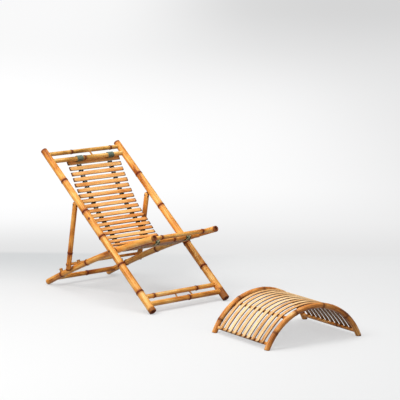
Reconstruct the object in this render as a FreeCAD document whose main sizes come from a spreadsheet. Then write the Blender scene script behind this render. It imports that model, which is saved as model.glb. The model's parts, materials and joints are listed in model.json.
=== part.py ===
import FreeCAD, Part
import math
import os
import Sketcher
from FreeCAD import Placement, Rotation, Vector

# Folding bamboo deck chair with a slatted hanging mat, and its arched footstool.
# Lengths are millimetres and angles are degrees.
# +X points to the sitter's feet, +Y to the sitter's left and +Z up.
# The origin lies on the floor, midway between the two front feet.

doc = FreeCAD.newDocument("bamboo_chaise_longue")
sheet = doc.addObject("Spreadsheet::Sheet", "Size")

SIZES = [
    # main frame: two long leaning poles and four rails
    ("pole_length", 1285.5),
    ("pole_slope", 38.73),
    ("pole_gauge", 560.0),
    ("pole_foot_radius", 22.0),
    ("pole_top_radius", 20.0),
    ("pole_wall", 7.0),
    ("pole_foot_trim", 1.9),
    ("foot_rail_lower_station", 56.1),
    ("foot_rail_lower_radius", 15.5),
    ("foot_rail_upper_station", 110.5),
    ("foot_rail_upper_radius", 13.5),
    ("mat_rail_station", 1193.5),
    ("mat_rail_radius", 13.5),
    ("top_rail_station", 1249.5),
    ("top_rail_radius", 12.5),
    ("rail_entry", 8.0),
    ("rail_fit", 0.1),
    # what every bamboo pole has: swollen rings, a hollow and its end walls
    ("ring_swell", 1.3),
    ("ring_width", 7.0),
    ("end_recess", 14.0),
    ("end_wall", 6.0),
    # small pegs that keep neighbouring rails apart
    ("top_peg_offset", 40.0),
    ("top_peg_radius", 5.0),
    ("foot_peg_offset_right", 49.0),
    ("foot_peg_offset_left", 63.0),
    ("foot_peg_radius", 4.5),
    ("foot_peg_slant", 5.0),
    ("peg_seat", 6.0),
    ("peg_fit", 0.1),
    # pivot of the seat frame in the main frame
    ("pivot_station", 470.7),
    ("pivot_radius", 6.0),
    ("pivot_fit", 0.06),
    ("pivot_proud", 2.0),
    ("pivot_recess", 1.0),
    ("washer_radius", 13.0),
    ("washer_gap", 0.3),
    # hinge of the prop frame on the main frame
    ("hinge_station", 878.5),
    ("hinge_setback", 40.2),
    ("tongue_thickness", 8.0),
    ("tongue_half_width", 10.0),
    ("tongue_entry", 4.0),
    ("tongue_fit", 0.1),
    ("hinge_pin_radius", 4.0),
    ("hinge_pin_fit", 0.06),
    ("hinge_pin_proud", 2.0),
    ("fork_fit", 0.3),
    ("fork_depth", 2.5),
    # prop frame: two struts and a crossbar
    ("strut_inset", 5.0),
    ("strut_radius", 15.0),
    ("strut_head", 15.0),
    ("strut_head_bevel", 6.0),
    ("strut_tail", 38.0),
    ("strut_ring_drop", 300.0),
    ("strut_bore", 8.0),
    ("crossbar_radius", 8.5),
    ("crossbar_proud", 2.0),
    ("rest_station", 292.0),
    ("rest_gap", 0.3),
    # seat frame: two bowed rails and three crossrails
    ("seat_side_gap", 6.0),
    ("seat_rail_chord", 1062.0),
    ("seat_rail_bow", 19.8),
    ("seat_rail_radius", 18.0),
    ("seat_rail_wall", 8.0),
    ("seat_foot_trim", 0.8),
    ("seat_pivot_station", 717.6),
    ("seat_rail_entry", 6.0),
    ("front_crossrail_inset", 23.0),
    ("front_crossrail_radius", 12.0),
    ("mat_crossrail_inset", 148.0),
    ("mat_crossrail_drop", 9.0),
    ("mat_crossrail_radius", 13.0),
    ("mat_crossrail_tenon", 7.0),
    ("tenon_length", 20.0),
    ("shoulder_gap", 0.2),
    ("rear_crossrail_station", 77.0),
    ("rear_crossrail_radius", 14.0),
    ("rear_stop_station", 153.5),
    ("front_stop_station", 335.6),
    ("stop_radius", 10.0),
    ("stop_height", 18.0),
    ("stop_depth", 12.0),
    # the mat of slats: its side route, its slats and its cords
    ("mat_setback", 22.7),
    ("mat_front_gap", 22.2),
    ("mat_back_angle", 58.56),
    ("mat_waist_angle", 34.36),
    ("mat_seat_angle", 22.04),
    ("mat_seat_run", 314.0),
    ("mat_back_bend", 752.0),
    ("mat_seat_bend", 275.0),
    ("slat_pitch", 35.9),
    ("slat_side_gap", 16.0),
    ("slat_width", 25.0),
    ("slat_thickness", 8.0),
    ("slat_bevel", 1.5),
    ("mat_offset_back", 50.0),
    ("mat_offset_seat", 13.0),
    ("column_half_spread", 118.5),
    ("cord_half_gap", 12.0),
    ("cord_radius", 2.0),
    ("cord_hole_fit", 0.4),
    ("knot_radius", 4.5),
    ("cord_gap", 0.3),
    # cord wound round the two rails that carry the mat
    ("lashing_radius", 1.9),
    ("lashing_turn_gap", 0.5),
    ("lashing_seat", 0.3),
    # footstool: two arched poles, four crossrails, curved strips
    ("stool_forward", 822.5),
    ("stool_side", 28.7),
    ("stool_turn", 6.93),
    ("arch_gauge", 477.0),
    ("arch_bend", 340.0),
    ("arch_rise", 203.0),
    ("arch_radius", 15.5),
    ("arch_wall", 5.5),
    ("arch_overrun", 25.0),
    ("stool_rail_radius", 9.0),
    ("stool_rail_drop", 3.5),
    ("stool_rail_entry", 5.0),
    ("outer_rail_angle", 60.6),
    ("inner_rail_angle", 30.5),
    ("strip_width", 29.5),
    ("strip_gap", 11.9),
    ("strip_thickness", 7.0),
    ("strip_bevel", 1.2),
    ("strip_seat", 0.3),
    ("strip_overhang", 18.0),
    ("nail_radius", 1.3),
    ("nail_depth", 8.0),
    ("nail_fit", 0.05),
    # how far every cutting tool runs past what it cuts
    ("overrun", 3.0),
]
for row, (alias, number) in enumerate(SIZES, start=1):
    sheet.set("A%d" % row, alias)
    sheet.set("B%d" % row, str(number))
    sheet.setAlias("B%d" % row, alias)
doc.recompute()

# places of the swollen rings, as shares of the pole or of the half gauge
RIGHT_POLE_RING_SHARES = (0.1148, 0.2799, 0.4511, 0.6073, 0.8018)
LEFT_POLE_RING_SHARES = (0.1963, 0.3442, 0.5813, 0.7881)
TOP_RAIL_RING_SHARES = (-0.341, 0.730)
MAT_RAIL_RING_SHARES = (-0.105,)
FOOT_RAIL_UPPER_RING_SHARES = (-0.726, 0.433)
FOOT_RAIL_LOWER_RING_SHARES = (0.105,)
FRONT_CROSSRAIL_RING_SHARES = (-0.701, 0.624)
MAT_CROSSRAIL_RING_SHARES = (0.12,)
REAR_CROSSRAIL_RING_SHARES = (0.031,)
RIGHT_SEAT_RAIL_RING_SHARES = (0.146, 0.391, 0.650)
LEFT_SEAT_RAIL_RING_SHARES = (0.186, 0.476)
# the mat is rigid with the chair's back, then bends, then lies on the seat frame
MAT_BACK_SHARE = 0.26
MAT_BEND_SHARE = 0.70
# its sideways offset eases between these shares of the route
MAT_EASE_START_SHARE = 0.50
MAT_EASE_END_SHARE = 0.70
UPPER_LASHING_TURNS = 10
LOWER_LASHING_TURNS = 7
STRIP_COUNT = 10

X_AXIS = Vector(1, 0, 0)
Y_AXIS = Vector(0, 1, 0)
Z_AXIS = Vector(0, 0, 1)
SIDES = (("right", -1), ("left", 1))
subparts = {}


def size(expression):
    """Number that an expression of sheet cells stands for."""
    return float(sheet.evalExpression(expression))


def cell(alias):
    return size("Size." + alias)


# Widths and stations that follow from the sizes that carry them.
STRUT_GAUGE = "(Size.pole_gauge - 2 * Size.strut_inset)"
SEAT_GAUGE = "(Size.pole_gauge - 2 * (Size.pole_foot_radius + Size.seat_side_gap + Size.seat_rail_radius))"
SLAT_LENGTH = "(%s - 2 * (Size.seat_rail_radius + Size.slat_side_gap))" % SEAT_GAUGE
strut_gauge = size(STRUT_GAUGE)
seat_gauge = size(SEAT_GAUGE)
mat_crossrail_station = cell("seat_rail_chord") - cell("mat_crossrail_inset")
crossrail_stations = {"rear_crossrail": cell("rear_crossrail_station"),
                      "front_crossrail": cell("seat_rail_chord") - cell("front_crossrail_inset")}


def keep(label, item):
    """Register a finished sub-part under the name of its file."""
    item.Label = label
    subparts[label] = item
    return item


def along(direction):
    """Rotation that turns +Z to the direction."""
    return Rotation(Z_AXIS, direction)


def outline_sketch(body, name, plane_role, outline):
    """Closed outline of (across, up) expressions, each corner bound to the sheet."""
    sketch = body.newObject("Sketcher::SketchObject", name)
    plane = [item for item in body.Origin.OriginFeatures if item.Role == plane_role][0]
    sketch.AttachmentSupport = (plane, [""])
    sketch.MapMode = "FlatFace"
    corners = [(size(across), size(up)) for across, up in outline]
    count = len(corners)
    for index in range(count):
        here = corners[index]
        ahead = corners[(index + 1) % count]
        edge = Part.LineSegment(Vector(here[0], here[1], 0), Vector(ahead[0], ahead[1], 0))
        sketch.addGeometry(edge, False)
    rules = []
    bindings = []
    for index in range(count):
        rules.append(Sketcher.Constraint("Coincident", index, 2, (index + 1) % count, 1))
    for index in range(count):
        for which, kind, axis in ((0, "DistanceX", -2), (1, "DistanceY", -1)):
            if outline[index][which] == "0":
                rules.append(Sketcher.Constraint("PointOnObject", index, 1, axis))
                continue
            bindings.append((len(rules), outline[index][which]))
            rules.append(Sketcher.Constraint(kind, -1, 1, index, 1, corners[index][which]))
    sketch.addConstraint(rules)
    for number, expression in bindings:
        sketch.setExpression("Constraints[%d]" % number, expression)
    return sketch


def turned(label, outline):
    """Round piece turned about its own Z axis."""
    body = doc.addObject("PartDesign::Body", label)
    sketch = outline_sketch(body, label + "_outline", "XZ_Plane", outline)
    feature = body.newObject("PartDesign::Revolution", label + "_turned")
    feature.Profile = sketch
    feature.ReferenceAxis = (sketch, ["V_Axis"])
    feature.Angle = 360
    sketch.Visibility = False
    return body


def bamboo(label, length, start_radius, end_radius, ring_places, bevel=None):
    """Solid tapered pole along +Z with swollen rings at the given places."""
    def radius_at(place):
        return "%s + (%s - %s) * (%s) / (%s)" % (start_radius, end_radius, start_radius, place, length)

    outline = [("0", "0")]
    if bevel:
        outline.append(("%s - %s" % (start_radius, bevel), "0"))
        outline.append((start_radius, bevel))
    else:
        outline.append((start_radius, "0"))
    for place in ring_places:
        foot = "(%s) - Size.ring_width / 2" % place
        lip = "(%s) - Size.ring_width / 7" % place
        brow = "(%s) + Size.ring_width / 7" % place
        head = "(%s) + Size.ring_width / 2" % place
        outline.append((radius_at(foot), foot))
        outline.append(("%s + Size.ring_swell" % radius_at(place), lip))
        outline.append(("%s + Size.ring_swell" % radius_at(place), brow))
        outline.append((radius_at(head), head))
    outline.append((end_radius, length))
    outline.append(("0", length))
    return turned(label, outline)


def rod(name, radius, length, start, direction):
    """Cylinder from a start point along a direction, sizes bound to the sheet."""
    item = doc.addObject("Part::Cylinder", name)
    item.setExpression("Radius", radius)
    item.setExpression("Height", length)
    item.Placement = Placement(start, along(direction))
    return item


def arc_rod(name, bend, radius, sweep, placement):
    """Round rod bent to a circular arc that starts at its own +X."""
    item = doc.addObject("Part::Torus", name)
    item.setExpression("Radius1", bend)
    item.setExpression("Radius2", radius)
    item.setExpression("Angle3", sweep)
    item.Placement = placement
    return item


def block(name, lengths, placement):
    """Box centred on its placement."""
    item = doc.addObject("Part::Box", name)
    for side, expression in zip(("Length", "Width", "Height"), lengths):
        item.setExpression(side, expression)
    middle = Vector(*[size(expression) / -2 for expression in lengths])
    item.Placement = placement.multiply(Placement(middle, Rotation()))
    return item


def merged(name, items):
    if len(items) == 1:
        return items[0]
    union = doc.addObject("Part::MultiFuse", name)
    union.Shapes = items
    return union


def carved(label, base, tools):
    """Base piece with every tool taken out of it."""
    result = doc.addObject("Part::Cut", label + "_piece")
    result.Base = base
    result.Tool = merged(label + "_tools", tools)
    return keep(label, result)


def shaped(label, shape):
    """Piece with a shape of its own, for cords, windings and what they thread through."""
    item = doc.addObject("Part::Feature", label + "_piece")
    item.Shape = shape
    item.Placement = Placement()
    return keep(label, item)


# Frame of the main poles: up the pole, square to it towards the sitter, and its foot.
slope = math.radians(cell("pole_slope"))
pole_up = Vector(-math.cos(slope), 0, math.sin(slope))
pole_front = Vector(math.sin(slope), 0, math.cos(slope))
pole_half_gauge = cell("pole_gauge") / 2
foot_height = cell("pole_foot_radius") * math.cos(slope) - cell("pole_foot_trim")
pole_foot = Vector(0, 0, foot_height)


def on_pole(station, front=0.0, side=0.0):
    """Point of the leaning frame at a distance up the pole."""
    return pole_foot + pole_up * station + pole_front * front + Y_AXIS * side


pivot = on_pole(cell("pivot_station"))
hinge = on_pole(cell("hinge_station"), -cell("hinge_setback"))

# Frame of the seat rails: each is an arc that bows upwards, and its rear end meets the floor.
chord = cell("seat_rail_chord")
bow = cell("seat_rail_bow")
SEAT_BEND = "(Size.seat_rail_chord^2 / (8 * Size.seat_rail_bow) + Size.seat_rail_bow / 2)"
seat_bend = size(SEAT_BEND)
half_sweep = math.asin(chord / 2 / seat_bend)


def bow_height(station):
    """Height of the arc over its chord."""
    return math.sqrt(seat_bend ** 2 - (station - chord / 2) ** 2) - (seat_bend - bow)


arm = math.hypot(cell("seat_pivot_station"), bow_height(cell("seat_pivot_station")))
arm_lift = math.atan2(bow_height(cell("seat_pivot_station")), cell("seat_pivot_station"))
seat_slope = 0.0
for _ in range(12):
    rest = cell("seat_rail_radius") * math.cos(seat_slope + half_sweep) - cell("seat_foot_trim")
    seat_slope = math.asin((pivot.z - rest) / arm) - arm_lift
seat_ahead = Vector(math.cos(seat_slope), 0, math.sin(seat_slope))
seat_over = Vector(-math.sin(seat_slope), 0, math.cos(seat_slope))
seat_rear = pivot - seat_ahead * cell("seat_pivot_station") - seat_over * bow_height(cell("seat_pivot_station"))
seat_centre = seat_rear + seat_ahead * (chord / 2) - seat_over * (seat_bend - bow)


def seat_normal(station):
    """Direction square to the rail's axis, away from the floor."""
    lean = math.asin((chord / 2 - station) / seat_bend)
    return seat_over * math.cos(lean) - seat_ahead * math.sin(lean)


def on_seat(station, over=0.0, side=0.0):
    """Point at a distance along the seat rail's chord, over its axis and to one side."""
    normal = seat_normal(station)
    return seat_centre + normal * (seat_bend + over) + Y_AXIS * side


def seat_forward(station):
    return Y_AXIS.cross(seat_normal(station))


# The prop: from its hinge to the crossbar, which rests on both seat rails.
crossbar_over = cell("seat_rail_radius") + cell("crossbar_radius") + cell("rest_gap")
crossbar_middle = on_seat(cell("rest_station"), crossbar_over)
prop_reach = (crossbar_middle - hinge).Length
prop_down = (crossbar_middle - hinge).normalize()
prop_rear = prop_down.cross(Y_AXIS).normalize()

# MAIN FRAME
# Two tapered poles lean back from their feet. Each is hollow, with a wall near both ends,
# and has a round hole for each rail, a slot for the hinge tongue and a hole for the pivot.
CROSS_RAILS = (
    ("foot_rail_lower", FOOT_RAIL_LOWER_RING_SHARES),
    ("foot_rail_upper", FOOT_RAIL_UPPER_RING_SHARES),
    ("mat_rail", MAT_RAIL_RING_SHARES),
    ("top_rail", TOP_RAIL_RING_SHARES),
)
RAIL_LENGTH = "(Size.pole_gauge + 2 * Size.rail_entry)"
POLE_BORE = "(Size.pole_top_radius - Size.pole_wall)"
floor_span = "(2 * Size.pole_length)"
floor_place = Placement(Vector(0, 0, -size(floor_span) / 2), Rotation())

for side_name, side in SIDES:
    shares = LEFT_POLE_RING_SHARES if side > 0 else RIGHT_POLE_RING_SHARES
    label = "main_pole_" + side_name
    places = ["%r * Size.pole_length" % share for share in shares]
    pole = bamboo(label + "_turning", "Size.pole_length", "Size.pole_foot_radius", "Size.pole_top_radius", places)
    pole.Placement = Placement(on_pole(0, 0, side * pole_half_gauge), along(pole_up))
    tools = []
    tools.append(block(label + "_floor", (floor_span, floor_span, floor_span), floor_place))
    tools.append(rod(label + "_foot_recess", POLE_BORE, "Size.end_recess + Size.overrun",
                     on_pole(-cell("overrun"), 0, side * pole_half_gauge), pole_up))
    tools.append(rod(label + "_head_recess", POLE_BORE, "Size.end_recess + Size.overrun",
                     on_pole(cell("pole_length") - cell("end_recess"), 0, side * pole_half_gauge), pole_up))
    inner = cell("end_recess") + cell("end_wall")
    tools.append(rod(label + "_hollow", POLE_BORE, "Size.pole_length - 2 * (Size.end_recess + Size.end_wall)",
                     on_pole(inner, 0, side * pole_half_gauge), pole_up))
    for rail_name, _ in CROSS_RAILS:
        start = on_pole(cell(rail_name + "_station"), 0, side * (pole_half_gauge + cell("rail_entry")))
        tools.append(rod(label + "_" + rail_name, "Size.%s_radius + Size.rail_fit" % rail_name,
                         "Size.rail_entry + Size.pole_foot_radius + Size.overrun", start, Y_AXIS * -side))
    start = on_pole(cell("pivot_station"), 0, side * (pole_half_gauge - cell("pole_foot_radius") - cell("overrun")))
    tools.append(rod(label + "_pivot", "Size.pivot_radius + Size.peg_fit",
                     "2 * (Size.pole_foot_radius + Size.overrun)", start, Y_AXIS * side))
    slot_reach = "(Size.tongue_entry + Size.pole_foot_radius + Size.overrun)"
    slot_front = cell("tongue_entry") + cell("tongue_fit") - size(slot_reach) / 2
    slot_place = Placement(on_pole(cell("hinge_station"), slot_front, side * strut_gauge / 2),
                           Rotation(pole_front, Y_AXIS, pole_up, "ZXY"))
    tools.append(block(label + "_slot", (slot_reach, "Size.tongue_thickness + 2 * Size.tongue_fit",
                                         "2 * (Size.tongue_half_width + Size.tongue_fit)"), slot_place))
    carved(label, pole, tools)

# Four straight rails tie the poles together. Their round ends sit in the poles' holes.
rails = {}
for rail_name, shares in CROSS_RAILS:
    places = ["%s / 2 + %r * Size.pole_gauge / 2" % (RAIL_LENGTH, share) for share in shares]
    radius = "Size.%s_radius" % rail_name
    rails[rail_name] = bamboo(rail_name + "_turning", RAIL_LENGTH, radius, radius, places)
    start = on_pole(cell(rail_name + "_station"), 0, -size(RAIL_LENGTH) / 2)
    rails[rail_name].Placement = Placement(start, along(Y_AXIS))


def spacer(label, lower, upper, from_side, to_side):
    """Thin peg between two neighbouring rails, with a seat drilled in each."""
    start = on_pole(cell(lower + "_station"), 0, from_side)
    end = on_pole(cell(upper + "_station"), 0, to_side)
    reach = end - start
    way = Vector(reach).normalize()
    foot = start + way * (cell(lower + "_radius") - cell("peg_seat"))
    head = end - way * (cell(upper + "_radius") - cell("peg_seat"))
    radius = "Size.top_peg_radius" if lower == "mat_rail" else "Size.foot_peg_radius"
    grown = "(%s + Size.peg_fit)" % radius
    peg = turned(label + "_turning", [("0", "0"), (radius, "0"), (radius, "%r" % (head - foot).Length),
                                      ("0", "%r" % (head - foot).Length)])
    peg.Placement = Placement(foot, along(way))
    keep(label, peg)
    length = "Size.peg_seat + Size.peg_fit + %s_radius" % ("Size." + lower)
    lower_tool = rod(label + "_lower_seat", grown, length, foot - way * cell("peg_fit"), way)
    length = "Size.peg_seat + Size.peg_fit + %s_radius" % ("Size." + upper)
    upper_tool = rod(label + "_upper_seat", grown, length, head + way * cell("peg_fit"), way * -1)
    return lower_tool, upper_tool


top_seats = spacer("top_spacer_peg", "mat_rail", "top_rail", cell("top_peg_offset"), cell("top_peg_offset"))
lean = cell("foot_peg_slant")
right_seats = spacer("foot_spacer_peg_right", "foot_rail_lower", "foot_rail_upper",
                     -cell("foot_peg_offset_right") - lean, -cell("foot_peg_offset_right") + lean)
left_seats = spacer("foot_spacer_peg_left", "foot_rail_lower", "foot_rail_upper",
                    cell("foot_peg_offset_left") + lean, cell("foot_peg_offset_left") - lean)
carved("mat_rail", rails["mat_rail"], [top_seats[0]])
carved("top_rail", rails["top_rail"], [top_seats[1]])
carved("foot_rail_lower", rails["foot_rail_lower"], [right_seats[0], left_seats[0]])
carved("foot_rail_upper", rails["foot_rail_upper"], [right_seats[1], left_seats[1]])

# Hinge tongues: flat rounded pieces let into the back of each pole, drilled for the hinge pin.
# A tongue lies in the plane of its pole, and its pin runs from side to side.
for side_name, side in SIDES:
    label = "hinge_tongue_" + side_name
    body = doc.addObject("PartDesign::Body", label + "_body")
    reach = "(Size.hinge_setback + Size.tongue_entry)"
    sketch = outline_sketch(body, label + "_outline", "XY_Plane", [
        ("0", "-Size.tongue_half_width"), (reach, "-Size.tongue_half_width"),
        (reach, "Size.tongue_half_width"), ("0", "Size.tongue_half_width")])
    pad = body.newObject("PartDesign::Pad", label + "_pad")
    pad.Profile = sketch
    pad.setExpression("Length", "Size.tongue_thickness")
    pad.Midplane = True
    turn = Rotation(pole_front, pole_up, Y_AXIS * -1, "ZXY")
    body.Placement = Placement(hinge + Y_AXIS * (side * strut_gauge / 2), turn)
    nose = doc.addObject("Part::Cylinder", label + "_nose")
    nose.setExpression("Radius", "Size.tongue_half_width")
    nose.setExpression("Height", "Size.tongue_thickness")
    nose_start = hinge + Y_AXIS * (side * strut_gauge / 2 - cell("tongue_thickness") / 2)
    nose.Placement = Placement(nose_start, along(Y_AXIS))
    hole_start = hinge + Y_AXIS * (side * strut_gauge / 2 - cell("tongue_thickness"))
    hole = rod(label + "_hole", "Size.hinge_pin_radius + Size.hinge_pin_fit", "2 * Size.tongue_thickness",
               hole_start, Y_AXIS)
    carved(label, merged(label + "_whole", [body, nose]), [hole])

# Pivot dowels and the washers between each pole and its seat rail.
WASHER_ROOM = "(Size.seat_side_gap"
WASHER_ROOM += " + (Size.pole_foot_radius - Size.pole_top_radius) * Size.pivot_station / Size.pole_length)"
DOWEL_LENGTH = "((Size.pole_gauge - %s) / 2 + Size.seat_rail_radius - Size.pivot_recess" % SEAT_GAUGE
DOWEL_LENGTH += " + Size.pole_foot_radius + Size.pivot_proud)"
for side_name, side in SIDES:
    inner = seat_gauge / 2 - cell("seat_rail_radius") + cell("pivot_recess")
    dowel = turned("pivot_dowel_%s_turning" % side_name, [
        ("0", "0"), ("Size.pivot_radius - Size.pivot_recess", "0"), ("Size.pivot_radius", "Size.pivot_recess"),
        ("Size.pivot_radius", DOWEL_LENGTH + " - Size.pivot_recess"),
        ("Size.pivot_radius - Size.pivot_recess", DOWEL_LENGTH), ("0", DOWEL_LENGTH)])
    dowel.Placement = Placement(pivot + Y_AXIS * (side * inner), along(Y_AXIS * side))
    keep("pivot_dowel_" + side_name, dowel)
    washer_length = WASHER_ROOM + " - 2 * Size.washer_gap"
    washer = turned("pivot_washer_%s_turning" % side_name, [
        ("Size.pivot_radius + Size.pivot_fit", "0"), ("Size.washer_radius", "0"),
        ("Size.washer_radius", washer_length), ("Size.pivot_radius + Size.pivot_fit", washer_length)])
    washer_start = seat_gauge / 2 + cell("seat_rail_radius") + cell("washer_gap")
    washer.Placement = Placement(pivot + Y_AXIS * (side * washer_start), along(Y_AXIS * side))
    keep("pivot_washer_" + side_name, washer)

# PROP FRAME
# Each strut hangs from its hinge pin. Its forked head straddles the tongue.
STRUT_REACH = "%r" % prop_reach
STRUT_LENGTH = "(Size.strut_head + %s + Size.strut_tail)" % STRUT_REACH
for side_name, side in SIDES:
    label = "prop_strut_" + side_name
    middle = hinge + Y_AXIS * (side * strut_gauge / 2)
    strut = bamboo(label + "_turning", STRUT_LENGTH, "Size.strut_radius", "Size.strut_radius",
                   ["Size.strut_head + Size.strut_ring_drop"], "Size.strut_head_bevel")
    strut.Placement = Placement(middle - prop_down * cell("strut_head"), along(prop_down))
    fork_length = "(Size.strut_head + Size.tongue_half_width + Size.fork_depth + Size.overrun)"
    fork_middle = cell("tongue_half_width") + cell("fork_depth") - size(fork_length) / 2
    fork_place = Placement(middle + prop_down * fork_middle, Rotation(prop_rear, Y_AXIS, prop_down, "ZXY"))
    tools = [block(label + "_fork", ("2 * (Size.strut_radius + Size.overrun)",
                                     "Size.tongue_thickness + 2 * Size.fork_fit", fork_length), fork_place)]
    start = middle - Y_AXIS * (cell("strut_radius") + cell("overrun"))
    tools.append(rod(label + "_pin_hole", "Size.hinge_pin_radius + Size.peg_fit",
                     "2 * (Size.strut_radius + Size.overrun)", start, Y_AXIS))
    start = crossbar_middle + Y_AXIS * (side * strut_gauge / 2 - cell("strut_radius") - cell("overrun"))
    tools.append(rod(label + "_bar_hole", "Size.crossbar_radius + Size.rail_fit",
                     "2 * (Size.strut_radius + Size.overrun)", start, Y_AXIS))
    tail = middle + prop_down * (prop_reach + cell("strut_tail") - cell("end_recess"))
    tools.append(rod(label + "_tail_recess", "Size.strut_bore", "Size.end_recess + Size.overrun", tail, prop_down))
    carved(label, strut, tools)
    pin_length = "2 * (Size.strut_radius + Size.hinge_pin_proud)"
    pin = turned("prop_hinge_pin_%s_turning" % side_name, [
        ("0", "0"), ("Size.hinge_pin_radius", "0"), ("Size.hinge_pin_radius", pin_length), ("0", pin_length)])
    pin.Placement = Placement(middle - Y_AXIS * (size(pin_length) / 2), along(Y_AXIS))
    keep("prop_hinge_pin_" + side_name, pin)
BAR_LENGTH = "(%s + 2 * (Size.strut_radius + Size.crossbar_proud))" % STRUT_GAUGE
crossbar = turned("prop_crossbar_turning", [
    ("0", "0"), ("Size.crossbar_radius", "0"), ("Size.crossbar_radius", BAR_LENGTH), ("0", BAR_LENGTH)])
crossbar.Placement = Placement(crossbar_middle - Y_AXIS * (size(BAR_LENGTH) / 2), along(Y_AXIS))
keep("prop_crossbar", crossbar)

# SEAT FRAME
# Two rails bowed to a shallow arc, hollow between an end wall at each end.
SWEEP = "2 * asin(Size.seat_rail_chord / 2 / %s)" % SEAT_BEND
SEAT_BORE = "(Size.seat_rail_radius - Size.seat_rail_wall)"


def seat_arc(name, radius, from_station, to_station, sweep, side):
    """Piece of the rail's arc between two stations, measured from the rear."""
    toward_front = seat_normal(to_station)
    turn = Rotation(toward_front, (Y_AXIS * -1).cross(toward_front), Y_AXIS * -1, "ZXY")
    centre = seat_centre + Y_AXIS * (side * seat_gauge / 2)
    return arc_rod(name, SEAT_BEND, radius, sweep, Placement(centre, turn))


def arc_angle(from_expression, to_expression):
    half = "Size.seat_rail_chord / 2"
    return "(asin((%s - %s) / %s) - asin((%s - %s) / %s))" % (
        to_expression, half, SEAT_BEND, from_expression, half, SEAT_BEND)


REAR = "(0 * Size.seat_rail_chord)"
FRONT = "Size.seat_rail_chord"
INNER_REAR = "(Size.end_recess + Size.end_wall)"
INNER_FRONT = "(Size.seat_rail_chord - Size.end_recess - Size.end_wall)"
CROSSRAILS = (
    ("front_crossrail", FRONT_CROSSRAIL_RING_SHARES),
    ("rear_crossrail", REAR_CROSSRAIL_RING_SHARES),
)
for side_name, side in SIDES:
    label = "seat_rail_" + side_name
    shares = LEFT_SEAT_RAIL_RING_SHARES if side > 0 else RIGHT_SEAT_RAIL_RING_SHARES
    pieces = [seat_arc(label + "_arc", "Size.seat_rail_radius", 0, chord, arc_angle(REAR, FRONT), side)]
    for number, share in enumerate(shares, start=1):
        station = share * chord
        start = on_seat(station, 0, side * seat_gauge / 2) - seat_forward(station) * (cell("ring_width") / 4)
        pieces.append(rod("%s_ring_%d" % (label, number), "Size.seat_rail_radius + Size.ring_swell",
                          "Size.ring_width / 2", start, seat_forward(station)))
    tools = [block(label + "_floor", (floor_span, floor_span, floor_span), floor_place)]
    tools.append(seat_arc(label + "_rear_recess", SEAT_BORE, 0, cell("end_recess"),
                          arc_angle(REAR, "Size.end_recess"), side))
    tools.append(seat_arc(label + "_front_recess", SEAT_BORE, chord - cell("end_recess"), chord,
                          arc_angle("(Size.seat_rail_chord - Size.end_recess)", FRONT), side))
    tools.append(seat_arc(label + "_hollow", SEAT_BORE, size(INNER_REAR), size(INNER_FRONT),
                          arc_angle(INNER_REAR, INNER_FRONT), side))
    for rail_name, _ in CROSSRAILS:
        start = on_seat(crossrail_stations[rail_name], 0, side * (seat_gauge / 2 + cell("seat_rail_entry")))
        tools.append(rod(label + "_" + rail_name, "Size.%s_radius + Size.rail_fit" % rail_name,
                         "Size.seat_rail_entry + Size.seat_rail_radius + Size.overrun", start, Y_AXIS * -side))
    tenon_end = seat_gauge / 2 - cell("seat_rail_radius") + cell("tenon_length") + cell("peg_fit")
    start = on_seat(mat_crossrail_station, -cell("mat_crossrail_drop"), side * tenon_end)
    tools.append(rod(label + "_mat_crossrail", "Size.mat_crossrail_tenon + Size.rail_fit",
                     "Size.tenon_length + Size.overrun", start, Y_AXIS * -side))
    start = pivot + Y_AXIS * (side * (seat_gauge / 2 - cell("seat_rail_radius") - cell("overrun")))
    tools.append(rod(label + "_pivot", "Size.pivot_radius + Size.pivot_fit",
                     "2 * (Size.seat_rail_radius + Size.overrun)", start, Y_AXIS * side))
    for stop_name in ("rear_stop", "front_stop"):
        station = cell(stop_name + "_station")
        depth = cell("seat_rail_radius") - cell("stop_depth")
        start = on_seat(station, depth - cell("peg_fit"), side * seat_gauge / 2)
        tools.append(rod("%s_%s_hole" % (label, stop_name), "Size.stop_radius + Size.peg_fit",
                         "Size.stop_depth + Size.peg_fit + Size.overrun", start, seat_normal(station)))
        stop_length = "(Size.stop_depth + Size.stop_height)"
        stop = turned("%s_%s_turning" % (stop_name, side_name), [
            ("0", "0"), ("Size.stop_radius", "0"), ("Size.stop_radius", stop_length + " - Size.pivot_recess"),
            ("Size.stop_radius - Size.pivot_recess", stop_length), ("0", stop_length)])
        start = on_seat(station, depth, side * seat_gauge / 2)
        stop.Placement = Placement(start, along(seat_normal(station)))
        keep("%s_peg_%s" % (stop_name, side_name), stop)
    carved(label, merged(label + "_whole", pieces), tools)

# Front and rear crossrails enter the seat rails with their full section.
CROSS_LENGTH = "(%s + 2 * Size.seat_rail_entry)" % SEAT_GAUGE
for rail_name, shares in CROSSRAILS:
    places = ["%s / 2 + %r * %s / 2" % (CROSS_LENGTH, share, SEAT_GAUGE) for share in shares]
    radius = "Size.%s_radius" % rail_name
    crossrail = bamboo(rail_name + "_turning", CROSS_LENGTH, radius, radius, places)
    start = on_seat(crossrail_stations[rail_name], 0, -size(CROSS_LENGTH) / 2)
    crossrail.Placement = Placement(start, along(Y_AXIS))
    keep(rail_name, crossrail)

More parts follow.
